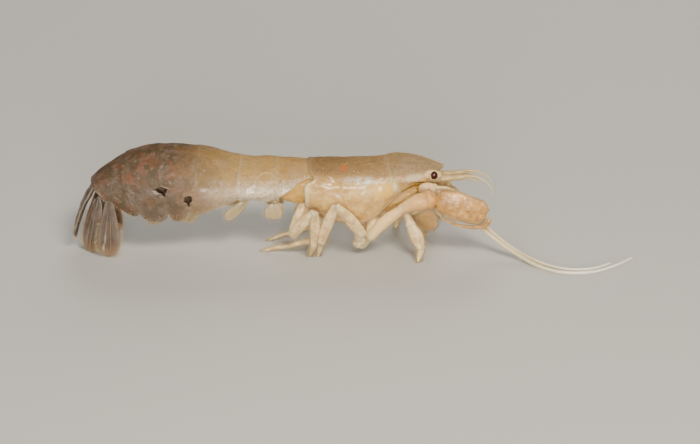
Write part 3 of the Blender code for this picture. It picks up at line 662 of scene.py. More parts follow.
def shield_paint():
    """Carapace and head: olive-brown along the back with fine dark dots, cream and milky on
    the sides, where the gills and the yellow liver show through, with a painted highlight
    streak along each flank."""
    paint = Paint("wet_carapace", **WET)
    x, z = paint.axis("X"), paint.axis("Z")
    cloud, patch, speck = paint.noise(2.6), paint.noise(0.9, 4.0, 0.65), paint.noise(0.34, 4.0, 0.7)
    back = (z + cloud * 1.2 + patch * 1.4).between(13.5, 15.7)
    paint.colour = paint.mix(cloud.between(0.28, 0.72), (0.51, 0.260, 0.055), (0.79, 0.475, 0.150))
    paint.lay(patch.between(0.45, 0.68) * 0.45, (0.86, 0.61, 0.28))
    gills = paint.noise(1.1, 2.0, 0.5, (0.40, 1.0, 2.4)).between(0.50, 0.68)
    paint.lay(gills * z.between(11.5, 8.0) * 0.45, (0.60, 0.36, 0.155))
    for y in (-1.0, 1.0):
        liver = paint.spot((4.3, 4.0 * y, 11.6), (2.5, 2.4, 1.9), 0.7) * (0.55 + patch * 0.9).clamped()
        paint.lay(liver * 0.95, (0.92, 0.50, 0.075))
        line = paint.spot((6.1, 3.7 * y, 12.2), (0.35, 1.6, 1.5), 0.8)
        paint.lay(line * 0.8, (0.93, 0.82, 0.62))
    brown = paint.mix(patch, (0.155, 0.088, 0.030), (0.36, 0.225, 0.095))
    brown = paint.mix((x + cloud * 3.0).between(3.5, -4.0) * 0.7, brown, (0.150, 0.083, 0.031))
    brown = paint.mix(x.between(4.5, 8.0) * 0.55, brown, (0.310, 0.228, 0.142))
    paint.lay(back * 0.92, brown)
    for y in (-1.0, 1.0):
        cheek = paint.spot((9.3, 3.2 * y, 13.1), (3.4, 1.8, 0.9), 0.7)
        paint.lay(cheek * 0.6, (0.80, 0.66, 0.52))
        # Painted highlight: a pale streak along each flank, where the wet shell would mirror the lamps.
        wet = paint.spot((1.4, 4.6 * y, 13.25), (5.6, 2.2, 0.85), 0.9) * patch.between(0.36, 0.56)
        paint.lay(wet * 0.70, (0.97, 0.92, 0.85))
        rust = paint.spot((-2.0, 2.0 * y, 14.3), (0.75, 1.2, 0.9), 0.8) * (patch * 1.8).clamped()
        paint.lay(rust * 0.9, (0.56, 0.12, 0.015))
    paint.lay(paint.flecks(0.30, 0.60) * back * 0.6, (0.055, 0.028, 0.011))
    paint.lay(paint.flecks(0.42, 0.66) * 0.5, (0.90, 0.76, 0.54))
    hind_band = (x + cloud * 0.8).between(-6.6, -7.2) * z.between(14.5, 12.0)
    paint.lay(hind_band * 0.5, (0.84, 0.68, 0.44))
    paint.lay(speck.between(0.55, 0.8) * 0.25, (0.92, 0.80, 0.60))
    paint.lay(paint.mark("edge") * (0.6 - back * 0.42), (0.87, 0.71, 0.46))
    roughness = 0.09 + 0.30 * speck + 0.30 * back
    height = cloud * 0.9 + patch * 0.8 + speck * (0.5 + back * 0.6)
    height = height + paint.noise(0.14, 2.0) * (0.25 + back * 0.35)
    return paint.finish(roughness, height, 0.18, coat=(0.95 - back * 0.95) * patch.between(0.20, 0.45))


def abdomen_paint():
    """Abdomen: golden tan above; below in front, a painted sheen of pale pearly patches with
    faint rosy and green tints; behind, darkened partly with painted shade over clouded brown,
    lilac-grey, rust and olive; dusted all over with dark dots."""
    paint = Paint("wet_abdomen", **WET)
    x, z = paint.axis("X"), paint.axis("Z")
    cloud, wisp = paint.noise(3.4, 4.0, 0.6), paint.noise(1.0, 4.0, 0.65)
    tint, speck = paint.noise(1.9, 4.0, 0.6), paint.noise(0.32, 4.0, 0.7)
    behind = (x + cloud * 7.0).between(-12.0, -26.5)
    above = (z + cloud * 1.6 + wisp * 1.2).between(12.6, 15.4)
    paint.colour = paint.mix(cloud, (0.46, 0.285, 0.110), (0.63, 0.43, 0.205))
    paint.lay(above * 0.85, (0.41, 0.250, 0.075))
    paint.lay(above * x.between(-15.0, -11.0) * 0.6, (0.36, 0.195, 0.045))
    paint.lay(wisp.between(0.50, 0.66) * 0.35, (0.25, 0.155, 0.070))
    paint.lay(tint.between(0.48, 0.60) * (0.55 - above * 0.30), (0.38, 0.285, 0.225))
    # Painted sheen: pale pearly patches, with faint rosy and green tints, where the wet lower flank glints.
    painted_sheen = (z + wisp * 2.5).between(14.6, 12.6) * x.between(-25.5, -17.5) * speck.between(0.30, 0.60)
    sheen = paint.mix(tint.between(0.40, 0.60), (0.66, 0.68, 0.55), (0.85, 0.62, 0.60))
    paint.lay(painted_sheen * 0.62, paint.mix(wisp.between(0.42, 0.62) * 0.8, (0.84, 0.74, 0.64), sheen))
    paint.lay(paint.flecks(0.26, 0.58) * 0.5, (0.085, 0.048, 0.022))
    paint.lay(paint.flecks(0.36, 0.66) * 0.4, (0.72, 0.56, 0.36))
    paint.lay(speck.between(0.58, 0.8) * 0.25, (0.72, 0.57, 0.38))
    # Darker behind: partly the hind segments' own browner colour, partly painted shade.
    hind = paint.mix(wisp, (0.023, 0.0155, 0.0095), (0.078, 0.053, 0.033))
    hind = paint.mix(tint.between(0.48, 0.60) * 0.75, hind, (0.105, 0.076, 0.064))
    hind = paint.mix(tint.between(0.44, 0.34) * z.between(12.0, 9.0) * 0.6, hind, (0.080, 0.058, 0.018))
    paint.lay(behind * 0.93, hind)
    rust = (wisp * 0.6 + cloud * 0.6).between(0.58, 0.74) * x.between(-20.0, -28.0)
    paint.lay(rust * 0.50, (0.21, 0.062, 0.020))
    scuff = paint.flecks(0.55, 0.62) * behind
    paint.lay(scuff * 0.35, (0.34, 0.26, 0.20))
    # Pale rims in front, brown ones behind; on the second segment this also paints the arc pale, partly as a
    # painted highlight.
    rim = paint.mark("edge") * (0.45 - above * 0.25)
    paint.lay(rim, paint.mix(behind, (0.86, 0.70, 0.48), (0.22, 0.155, 0.10)))
    roughness = 0.08 + 0.30 * speck + 0.38 * above
    height = cloud * 0.7 + wisp * 1.0 + (speck * 0.9 + paint.noise(0.14, 2.0) * 0.5) * (1.0 - behind * 0.55)
    wetness = (0.30 + wisp.between(0.4, 0.6) * 0.50 + painted_sheen * 0.30 - above * 0.70).clamped()
    return paint.finish(roughness, height, 0.17, coat=wetness)


def flesh_paint():
    """Soft parts under the plates: golden tan, browner behind, and near-black painted shade
    with rust bits in the hollows between the side lobes."""
    paint = Paint("soft_flesh", **{**WET, "Subsurface_Weight": 0.45})
    cloud, speck = paint.noise(1.6), paint.noise(0.35, 3.0, 0.65)
    paint.colour = paint.mix(cloud, (0.45, 0.240, 0.040), (0.64, 0.400, 0.100))
    paint.lay(paint.axis("X").between(-19.0, -28.0) * 0.65, (0.27, 0.170, 0.095))
    # Painted shade: near-black in the hollows behind the notches, with rust bits.
    hollow = paint.mix(paint.noise(0.6, 3.0).between(0.50, 0.62), (0.018, 0.010, 0.006), (0.17, 0.062, 0.020))
    paint.lay(paint.mark("edge") * 0.96, hollow)
    return paint.finish(0.30 + 0.2 * speck, cloud + speck * 0.8 + paint.noise(0.7, 3.0), 0.18)


def limb_paint():
    """Legs and feeler bases: milky and slightly grey inside, with bright warm edges as painted light shining
    through them.
    """
    paint = Paint("milky_limb", **WET)
    cloud, speck = paint.noise(1.2), paint.noise(0.28, 3.0, 0.7)
    patch = paint.noise(0.6, 3.0, 0.65)
    edge = paint.mark("edge")
    paint.colour = paint.mix(cloud.between(0.30, 0.70), (0.48, 0.315, 0.138), (0.80, 0.600, 0.325))
    paint.lay(patch.between(0.52, 0.70) * 0.40, (0.92, 0.79, 0.55))
    # Painted light: the thin edges made bright and warm as if lit through.
    paint.lay(edge * 0.65, (0.97, 0.74, 0.36))
    paint.lay(speck.between(0.6, 0.8) * 0.3, (0.93, 0.86, 0.72))
    for y in (-1.0, 1.0):
        lid = paint.spot((11.9, 2.0 * y, 13.1), (1.7, 1.1, 1.0), 0.6)
        paint.lay(lid * 0.7, paint.mix(patch, (0.46, 0.25, 0.105), (0.80, 0.60, 0.40)))
        paint.lay(lid * paint.flecks(0.2, 0.56) * 0.7, (0.16, 0.07, 0.03))
    joint = paint.mark("along").between(0.88, 1.0)
    paint.lay(joint * 0.45, (0.55, 0.29, 0.09))
    paint.lay(paint.flecks(0.30, 0.70) * 0.5, (0.22, 0.10, 0.04))
    return paint.finish(0.16 + 0.28 * speck, cloud * 0.8 + patch * 0.7 + speck * 0.6, 0.09)


def claw_paint():
    """Claws: tan-pink, rosier at the wrist and along the upper edge, with a few dark marks, and the left claw
    painted paler to make up for the shade it sits in.
    """
    paint = Paint("rosy_claw", **WET)
    cloud, speck = paint.noise(1.7), paint.noise(0.3, 3.0, 0.7)
    patch = paint.noise(0.7, 4.0, 0.65)
    paint.colour = paint.mix(cloud.between(0.30, 0.70), (0.35, 0.158, 0.030), (0.62, 0.340, 0.090))
    paint.lay(patch.between(0.50, 0.68) * 0.50, (0.74, 0.48, 0.185))
    for centre, radii in (((10.2, -4.6, 10.2), (3.2, 2.6, 2.2)), ((16.4, -4.8, 11.3), (3.4, 2.4, 0.9)),
                          ((9.4, 3.8, 9.4), (2.0, 2.2, 1.6))):
        paint.lay(paint.spot(centre, radii, 0.8) * 0.5, (0.88, 0.45, 0.14))
    milky = paint.axis("X").between(12.0, 4.0)
    paint.lay(milky * 0.80, (0.97, 0.70, 0.34))
    # Painted light: the left claw, which sits in the right arm's shade, painted paler.
    paint.lay(paint.axis("Y").between(1.5, 3.0) * 0.4, (0.97, 0.72, 0.42))
    for centre, radii in (((17.5, -6.2, 8.8), (0.40, 0.7, 0.13)), ((15.0, -6.2, 10.0), (0.16, 0.7, 0.16)),
                          ((16.6, -6.2, 8.1), (0.24, 0.7, 0.10))):
        paint.lay(paint.spot(centre, radii, 0.4) * 0.85, (0.07, 0.035, 0.02))
    paint.lay(paint.flecks(0.30, 0.67) * 0.5, (0.26, 0.11, 0.045))
    paint.lay(speck.between(0.6, 0.8) * 0.3, (0.92, 0.80, 0.62))
    paint.lay(paint.mark("edge") * 0.3, (0.86, 0.62, 0.34))
    return paint.finish(0.18 + 0.32 * speck, cloud + patch * 0.9 + speck * 0.7, 0.125)


def lash_paint():
    """Feelers: straw near the head, then cream and nearly white towards the tips, darker
    between the rings."""
    paint = Paint("ringed_lash", **{**WET, "Coat_Weight": 0.3})
    cloud = paint.noise(0.8)
    x = paint.axis("X")
    paint.colour = paint.mix(x.between(17.5, 22.0), (0.52, 0.37, 0.170), (0.70, 0.60, 0.39))
    paint.lay(cloud.between(0.45, 0.7) * 0.30, (0.47, 0.33, 0.14))
    paint.lay(x.between(25.0, 36.0), (0.95, 0.89, 0.79))
    paint.lay(paint.mark("edge") * 0.40, (0.47, 0.36, 0.20))
    return paint.finish(0.30 + 0.15 * paint.noise(0.3), paint.noise(0.2), 0.04)


def fan_paint():
    """Tail fan: thin and dark grey-brown, darkened partly as painted shade, clear between its
    pale rays, with golden lower edges and a painted highlight as a white streak on each
    outer blade."""
    paint = Paint("clear_fan", **{**WET, "Subsurface_Weight": 0.4})
    cloud, speck = paint.noise(1.6, 4.0, 0.6), paint.noise(0.3, 3.0, 0.7)
    edge, z = paint.mark("edge"), paint.axis("Z")
    # Dark grey-brown: partly the fan's own colour, partly painted shade.
    paint.colour = paint.mix(cloud.between(0.3, 0.7), (0.034, 0.024, 0.019), (0.108, 0.080, 0.063))
    paint.lay(paint.noise(2.2, 4.0, 0.6).between(0.50, 0.66) * 0.4, (0.150, 0.066, 0.036))
    paint.lay(z.between(3.2, 0.2) * 0.5, (0.28, 0.155, 0.045))
    paint.lay(edge * 0.48, (0.31, 0.240, 0.178))
    # Painted highlight: a white streak on each outer blade.
    for y in (-1.0, 1.0):
        for centre, reach, share in (((-39.7, 5.0 * y, 1.7), 1.1, 0.85), ((-39.4, 5.0 * y, 3.2), 1.6, 0.45)):
            paint.lay(paint.spot(centre, (0.26, 1.6, reach), 0.9) * share, (0.86, 0.76, 0.62))
    alpha = (0.68 + 0.32 * edge + 0.3 * cloud).clamped()
    return paint.finish(0.20 + 0.24 * speck, speck * 0.6 + cloud, 0.06, alpha)


def swimmer_paint():
    """Swimming legs: thin milky leaves, tan towards their stems."""
    paint = Paint("milky_swimmer", **{**WET, "Subsurface_Weight": 0.5})
    cloud, speck = paint.noise(1.0, 4.0, 0.6), paint.noise(0.3, 3.0, 0.7)
    edge = paint.mark("edge")
    paint.colour = paint.mix(cloud, (0.36, 0.235, 0.115), (0.58, 0.42, 0.24))
    paint.lay(paint.axis("X").between(-18.0, -30.0) * 0.5, (0.17, 0.11, 0.06))
    paint.lay(edge * 0.4, (0.66, 0.46, 0.22))
    alpha = (0.68 + 0.3 * edge + 0.2 * cloud).clamped()
    return paint.finish(0.24 + 0.24 * speck, speck * 0.6 + cloud, 0.07, alpha)


def eye_paint():
    """Eyes: dark red-brown, polished in their upper half and dull below."""
    paint = Paint("dark_eye", Coat_Roughness=0.05, IOR=1.40, Specular_IOR_Level=0.25)
    paint.colour = paint.mix(paint.noise(0.35), (0.008, 0.002, 0.002), (0.080, 0.012, 0.006))
    upper = paint.axis("Z").between(13.34, 13.42)
    return paint.finish(0.62 - 0.4 * upper, paint.cells(0.06), 0.004, coat=upper * 0.9)


def bristle_paint():
    """Hairs: straw, a little darker at the root."""
    paint = Paint("straw_bristle", Subsurface_Weight=0.2, Subsurface_Scale=0.0004, IOR=1.45)
    paint.colour = paint.mix(paint.mark("along"), (0.34, 0.215, 0.095), (0.74, 0.58, 0.35))
    return paint.finish(0.4)


# ---------------------------------------------------------------- carapace and head
def shield_place(x, turn):
    """Outer face of carapace and head: y is the half width times |cos t|^0.88, and z runs
    from the waist to the crest or to the keel as sin t."""
    half, crest, keel = (flow(SHIELD_X, row, x) for row in (SHIELD_HALF, SHIELD_CREST, SHIELD_KEEL))
    waist = 0.5 * (crest + keel)
    side, height = np.cos(turn), np.sin(turn)
    y = half * np.sign(side) * np.abs(side) ** 0.88
    z = waist + np.where(height > 0, crest - waist, waist - keel) * height
    return np.stack([x + 0.0 * y, y, z], axis=-1)


def neck_x(turn):
    """x of the cervical groove at each angle: it leans forwards going down. The height there
    depends on x, so a few rounds of substitution settle it."""
    crest = flow(SHIELD_X, SHIELD_CREST, NECK_X)
    x = np.full_like(turn, NECK_X)
    for _ in range(12):
        x = 0.5 * x + 0.5 * (NECK_X + (crest - shield_place(x, turn)[..., 2]) * NECK_LEAN)
    return x


def side_line(grid):
    """A shallow wandering furrow along the flank with a broad low swelling under it."""
    depth = grid[..., 2] - flow(SIDE_LINE_X, SIDE_LINE_Z, grid[..., 0]) + 0.22 * grain(grid, 1.5, 9)
    return (-0.06 * crease(depth, 0.45, 0.35) + 0.23 * crease(depth, -0.45, 0.72)
            + 0.06 * crease(depth, -1.8, 1.0))


def make_carapace(material, coat):
    """The carapace: a saddle-shaped plate from its hind edge, which bays forwards at the side
    line, to the cervical groove, with a low hind band and a swollen gill chamber."""
    share, turn = dense_ends(150)[:, None], np.linspace(HEM, math.pi - HEM, 190)[None, :]
    ahead = neck_x(turn[0]) - 0.05
    height = shield_place(SHIELD_X[0], turn)[..., 2]
    rear = SHIELD_X[0] + 1.35 * crease(height, 13.5, 0.9) + 0.35 * ease(14.0, 15.0, height)
    x = rear + (ahead - rear) * share
    grid = shield_place(x, turn)
    behind, front = x - rear, ahead - x
    relief = side_line(grid) + 0.05 * crease(behind, 0.35, 0.22) - 0.05 * crease(behind, 0.8, 0.3)
    relief = relief - 0.08 * ease(0.30, 0.0, behind) - 0.06 * crease(front, 0.7, 0.35)
    relief = relief + rough(grid, (0.16, 3.2), (0.09, 1.3, 2), (0.032, 0.62, 6), (0.012, 0.36, 3))
    hem = crease(np.sin(turn), math.sin(HEM), 0.07)
    grid = raised(grid, relief + 0.10 * hem, False)
    for columns in ((0.0, 0.02), (0.98, 1.0)):
        coat.grow(grid, (0.05, 0.97), columns, 160, 0.6, 0.0, closed=False)
    coat.grow(grid, (0.75, 0.99), (0.3, 0.7), 130, 0.45, 1.2, closed=False, half=0.015)
    make_piece("carapace_shell", [plate(grid, SHELL)], material, "shell", "carapace")


def make_thorax(material):
    """The floor of the thorax inside the carapace, with a furrow between each pair of legs."""
    x = np.linspace(SHIELD_X[0] + 0.5, 6.2, 90)[:, None]
    turn = turns(96)[None, :]
    grid = shield_place(x, turn)
    waist = 0.5 * (flow(SHIELD_X, SHIELD_KEEL, x) + flow(SHIELD_X, SHIELD_CREST, x))
    below = ease(0.3, 1.0, -np.sin(turn))
    grid[..., 1] *= 0.76 + 0.12 * ease(-7.0, -4.5, x) + 0.04 * below
    grid[..., 2] = waist + (grid[..., 2] - waist) * (0.85 + 0.15 * below)
    furrows = 0.14 * np.cos(2.0 * np.pi * (x + 7.0) / 3.1) * below
    middle = -0.35 * crease(grid[..., 1], 0.0, 0.5) * below
    grid = raised(grid, furrows + middle + 0.04 * grain(grid, 0.9), True)
    make_piece("thorax_floor", [skin(grid)], material, "limb", "carapace")


def make_head(material, coat):
    """The head shield: from the cervical groove to the beak, with two furrows that run back
    from the beak, low beads between them and a saw of small teeth along its edges."""
    turn = np.linspace(HEM - 0.25, math.pi - HEM + 0.25, 170)[None, :]
    share = dense_ends(120)[:, None]
    behind = neck_x(turn[0]) - 0.35
    x = behind + (SHIELD_X[-1] - behind) * share
    grid = shield_place(x, turn)
    lane = np.abs(grid[..., 1]) / (flow(SHIELD_X, SHIELD_HALF, x) + 0.15)
    above = ease(0.2, 0.6, np.sin(turn))
    ahead = ease(6.0, 8.5, x)
    furrows = -0.16 * crease(lane, 0.42, 0.10) + 0.09 * crease(lane, 0.66, 0.13)
    relief = side_line(grid) * ease(12.5, 10.5, x) + furrows * above * ahead
    depth = grid[..., 2] - flow(SIDE_LINE_X, SIDE_LINE_Z, x)
    relief = relief + 0.20 * crease(depth, -0.45, 0.42) * ease(5.6, 7.5, x) * ease(12.4, 11.2, x)
    relief = relief + 0.12 * beads(grid, 0.40) * above * ease(5.8, 7.6, x)
    relief = relief + rough(grid, (0.06, 1.6, 4), (0.012, 0.4, 5)) - 0.20 * ease(0.65, 0.0, x - behind)
    grid = raised(grid, relief, False)
    for rows, columns, count, length, lean in (((0.08, 0.6), (0.32, 0.68), 700, 0.5, 1.1),
                                               ((0.5, 0.99), (0.26, 0.74), 900, 0.6, 1.0)):
        coat.grow(grid, rows, columns, count, length, lean, closed=False, half=0.016)
    make_piece("head_shield", [plate(grid, SHELL)] + beak_teeth(), material, "shell", "head")


def beak_teeth():
    """Small cones along both edges of the beak and one at its point."""
    x = np.array([7.6, 8.5, 9.4, 10.3, 11.1, 11.9, 12.6, 13.2])
    shapes = []
    for side in SIDES:
        roots = mirrored(shield_place(x, np.full_like(x, math.radians(38.0))), side)
        shapes += [spine(root, mirrored((0.75, 0.6, 0.35), side), size, 0.35 * size)
                   for root, size in zip(roots, np.linspace(0.26, 0.42, len(x)))]
    return shapes


# ---------------------------------------------------------------- abdomen
def trunk_frame(share):
    """Place and up of the abdomen's axis at each share; shares count segments, 0 to 6."""
    line = np.stack([ABDOMEN_X, np.zeros(len(ABDOMEN_AT)), ABDOMEN_Z], axis=-1)
    heading = unit(flow(ABDOMEN_AT, line, share + 0.02) - flow(ABDOMEN_AT, line, share - 0.02))
    up = np.stack([heading[..., 2], 0.0 * heading[..., 1], -heading[..., 0]], axis=-1)
    return flow(ABDOMEN_AT, line, share), up


def flank_depth(lap):
    """0 at the top of the flank, 1 at the lobe's tip and below 0 on the back."""
    return (np.abs(lap) - FLANK) / (1.0 - FLANK)


def segment_grid(share, lap, lobe):
    """Outer face of the abdomen. lap runs from -1 at the right lobe's tip over the back to 1
    at the left one's: up to |lap| = FLANK it is an arch, half * sin and rise * cos^0.92, and
    beyond that a flank, half * (1 - 0.13 d^2), hanging down by the lobe's length times d."""
    half, rise, drop, belly = (flow(ABDOMEN_AT, row, share) for row in
                               (ABDOMEN_HALF, ABDOMEN_RISE, ABDOMEN_DROP, ABDOMEN_BELLY))
    drop = belly + 0.25 + (drop - belly - 0.25) * lobe
    arch = np.clip(np.abs(lap) / FLANK, 0.0, 1.0) * math.pi / 2
    down = np.clip(flank_depth(lap), 0.0, 1.0)
    side = half * np.where(down > 0, 1.0 - 0.13 * down**2, np.sin(arch)) * np.sign(lap)
    up_by = np.where(down > 0, -drop * down, rise * np.clip(np.cos(arch), 0.0, 1.0) ** 0.92)
    place, up = trunk_frame(share)
    return place + side[..., None] * ACROSS + up_by[..., None] * up


def notch(border, depth):
    """How far a side lobe stands back from a border: 0 outside the open notches, and in
    them full size just under their upper edge, falling to 0 at their lower corner."""
    size = 0.0 * depth
    for number, middle, reach, width in NOTCHES:
        if number == border:
            fall = np.clip((middle + reach - depth) / (2.0 * reach), 0.0, 1.0)
            ragged = 1.0 + 0.16 * np.sin(31.0 * depth) + 0.10 * np.sin(67.0 * depth + 1.0)
            upper = ease(middle - reach - 0.05, middle - reach + 0.04, depth)
            size = size + width * fall**0.7 * ragged * upper
    return size


def make_segment(number, material, coat):
    """One segment of the abdomen: a plate that arches over the back and ends in two rounded
    side lobes. It starts tucked under the plate before it and ends just over the one behind,
    its borders lean back down the flank, and a swelling runs along the foot of the flank."""
    local = dense_ends(96)[:, None]
    reach, tuck, start = 1.0, 0.13, 0.10
    if number == 1:
        tuck, start = 0.25, 0.55
        reach = flow((-0.6, -0.1, 0.4, 0.85, 1.0), (0.40, 0.47, 0.64, 0.86, 1.0),
                     (1.03 + start) * local - start)
    lap = np.linspace(-1.0, 1.0, 230)[None, :] * reach
    depth = flank_depth(lap)
    down = np.clip(depth, 0.0, 1.0)
    rounding = 0.16 * down**5
    ahead = number - 1 - start + BORDER_LEAN[number - 1] * ease(-0.2, 0.45, depth) + rounding
    hind = number + 0.03 + BORDER_LEAN[number] * ease(-0.2, 0.45, depth) - rounding
    bow = crease(depth, -0.25, 0.55)
    ahead, hind = ahead + BORDER_BOW[number - 1] * bow, hind + BORDER_BOW[number] * bow
    ahead, hind = ahead + 1.2 * notch(number - 1, depth), hind - notch(number, depth)
    share = np.minimum(ahead + (hind - ahead) * local, 6.0)
    lobe = 1.0 - 0.17 * np.abs(2.0 * local - 1.0) ** 2.6
    grid = segment_grid(share, lap, lobe)
    swell = crease(depth, 0.45, 0.34) * np.sin(np.pi * np.clip(local, 0, 1)) ** 0.4
    relief = -tuck * ease(0.17, 0.0, local) + 0.04 * crease(local, 0.94, 0.05)
    relief = relief + (0.55 if number < 4 else 0.20) * swell
    relief = relief + rough(grid, (0.15, 2.6, number), (0.10, 1.15, 7), (0.034, 0.60, 9), (0.013, 0.36, 8))
    x, z, wide, high = LOBE_ARC
    away = np.hypot((grid[..., 0] - x) / wide, (grid[..., 2] - z) / high) + 0.09 * grain(grid, 1.2, 11)
    arc = crease(away, 1.0, 0.06) * ease(11.9, 13.4, grid[..., 2]) if number == 2 else 0.0
    grid = raised(grid, relief + 0.10 * arc, False)
    for columns in ((0.0, 0.05), (0.95, 1.0)):
        coat.grow(grid, (0.15, 0.9), columns, 50, 0.7, 0.3, closed=False)
    # The arc is marked like a rim, so the abdomen paint makes it pale: partly rim colour, partly painted
    # highlight.
    make_piece(f"segment_{number}", [plate(grid, RING_SHELL, arc)], material, "shell", f"abdomen_{number}")


def make_belly(material):
    """The soft inside of the abdomen: an oval tube along its axis, flat below, with a cross
    fold under each segment. It fills the flank of the first segment, is hollow-sided behind
    the notches between the lobes, and closes the last segment with a quarter-circle dome."""
    share = np.linspace(-0.7, 6.13, 290)[:, None]
    turn = turns(96)[None, :]
    half, rise, belly = (flow(ABDOMEN_AT, row, share) for row in
                         (ABDOMEN_HALF, ABDOMEN_RISE, ABDOMEN_BELLY))
    place, up = trunk_frame(share)
    full = 0.84 + 0.11 * ease(1.5, 0.7, share)
    full = full - 0.10 * crease(share, 3.2, 0.4) - 0.16 * crease(share, 4.0, 0.4)
    dome = np.sqrt(1.0 - np.clip((share - 5.78) / 0.36, 0.0, 1.0) ** 2)
    full = (full + 0.06 * ease(5.0, 5.6, share)) * dome
    side = -full * half * np.cos(turn)
    belly = belly * (0.98 + 0.70 * crease(share, 3.4, 0.9) + 0.50 * crease(share, 4.15, 0.5)
                     + 0.20 * crease(share, 3.1, 0.35) + 0.50 * crease(share, 0.25, 0.6))
    boxy = 0.5 - 0.25 * crease(share, 3.1, 0.5) - 0.25 * crease(share, 4.05, 0.5)
    above = (0.82 + 0.08 * ease(5.0, 5.6, share)) * rise * np.sin(turn)
    height = np.where(np.sin(turn) > 0, above, -belly * np.abs(np.sin(turn)) ** boxy) * dome
    grid = place + side[..., None] * ACROSS + height[..., None] * up
    folds = 0.22 * np.abs(np.sin(np.pi * share)) ** 0.6 * ease(0.2, 0.8, -np.sin(turn))
    pleats = 0.05 * np.sin(2.0 * np.pi * 3.7 * share + 3.0 * grain(grid, 1.8, 6)) * ease(1.2, 0.8, share)
    grid = raised(grid, folds + pleats - 0.15 + 0.08 * grain(grid, 0.8), True)
    # The hollows are marked as edges, where the flesh paint lays painted shade.
    hollow = crease(share, 3.1, 0.45) + crease(share, 4.0, 0.45) + 0.8 * crease(share, 5.0, 0.2)
    hollow = np.clip(hollow, 0.0, 1.0) * ease(0.45, 0.75, np.abs(np.cos(turn)))
    names = [f"abdomen_{number}" for number in range(1, 7)]
    make_piece("belly_skin", [skin(grid, edge=hollow)], material, "shell", *names)


# ---------------------------------------------------------------- tail fan and swimming legs
def leaf(root, tip, halves, facing, rows=110, columns=90, bow=0.25, ribs=()):
    """Outer face of a leaf, with its lines. It runs from root to tip along its length and by
    half width times v across. Both ends are drawn in as quarter ellipses, and it is domed by
    bow * (1 - v^2). A rib, a bell across v, runs out along each given line, and fine rays
    stand where |cos(5.5 pi v)|^6 is near 1."""
    axis = unit(tip - root)
    thin = unit(facing - axis * facing.dot(axis))
    wide = np.cross(axis, thin)
    u, v = dense_ends(rows)[:, None], -np.cos(np.linspace(0.0, np.pi, columns))[None, :]
    rounding = np.sqrt(1.0 - np.clip((u - 0.78) / 0.22, 0, 1) ** 2)
    rounding = rounding * (1 - 0.75 * (1 - np.clip(u / 0.12, 0, 1)) ** 2)
    half = flow(np.linspace(0.0, 1.0, len(halves)), halves, u) * np.maximum(rounding, 0.02)
    height = bow * (1.0 - v**2) * np.sin(np.pi * np.clip(u, 0.0, 0.97)) ** 0.7
    rays = np.abs(np.cos(5.5 * np.pi * v)) ** 6 * ease(0.10, 0.40, u) * ease(1.0, 0.92, u)
    lines = 0.45 * rays
    for middle, strength in ribs:
        rib = crease(v, middle * (0.35 + 0.65 * u), 0.055) * ease(0.0, 0.15, u) * ease(1.0, 0.88, u)
        height, lines = height + strength * rib, np.maximum(lines, 0.9 * rib)
    grid = root + u[..., None] * (tip - root) + (half * v)[..., None] * wide
    grid = grid + (height + 0.0 * u)[..., None] * thin
    return raised(grid, 0.03 * grain(grid, 0.7) + 0.025 * rays, False), lines


def make_uropods(side, material, coat):
    """One half of the tail fan: an outer and an inner blade, each on its short base."""
    for label, (root, tip, halves, facing) in UROPODS.items():
        grid, lines = leaf(mirrored(root, side), mirrored(tip, side), halves, mirrored(facing, side),
                           ribs=FAN_RIBS[label])
        coat.fringe(grid, 0.45, 480, 0.8)
        shapes = [plate(grid, BLADE, lines)] + skins(chain(*UROPOD_BASES[label], side, 0.8, pointed=False))
        make_piece(f"fan_blade_{side}_{label}", shapes, material, "fin", f"uropod_{side}_{label}")


def make_telson(material, coat):
    """The middle plate of the fan: bent along its length, with two ribs and a shallow trough
    between them, and a rounded far edge."""
    u, v = dense_ends(100)[:, None], -np.cos(np.linspace(0.0, np.pi, 80))[None, :]
    line = route(TELSON_PATH, u * (1.0 - 0.08 * v**2 * u**3))
    half = flow(np.linspace(0.0, 1.0, len(TELSON_HALF)), TELSON_HALF, u)
    half = half * (1.0 - 0.25 * ease(0.85, 1.0, u) ** 2)
    slope = unit(np.gradient(line, axis=0))
    back = np.stack([slope[..., 1], 0.0 * slope[..., 0], -slope[..., 0]], axis=-1)
    place = np.stack([line[..., 0], half * v, line[..., 1]], axis=-1)
    height = 0.34 - 0.42 * v**2 + 0.18 * crease(np.abs(v), 0.45, 0.09) - 0.10 * crease(v, 0.0, 0.2)
    height = height + 0.12 * crease(u, 0.22, 0.06)
    rays = np.abs(np.cos(6.5 * np.pi * v)) ** 6 * ease(0.35, 0.75, u) * ease(1.0, 0.94, u)
    grid = place - back * (height + 0.025 * rays)[..., None]
    grid = raised(grid[:, ::-1], 0.04 * grain(grid[:, ::-1], 0.7), False)
    coat.fringe(grid, 0.5, 120, 0.7)
    coat.end_fringe(grid, 160, 0.8)
    make_piece("fan_middle", [plate(grid, MIDDLE_BLADE, 0.45 * rays)], material, "fin", "telson")


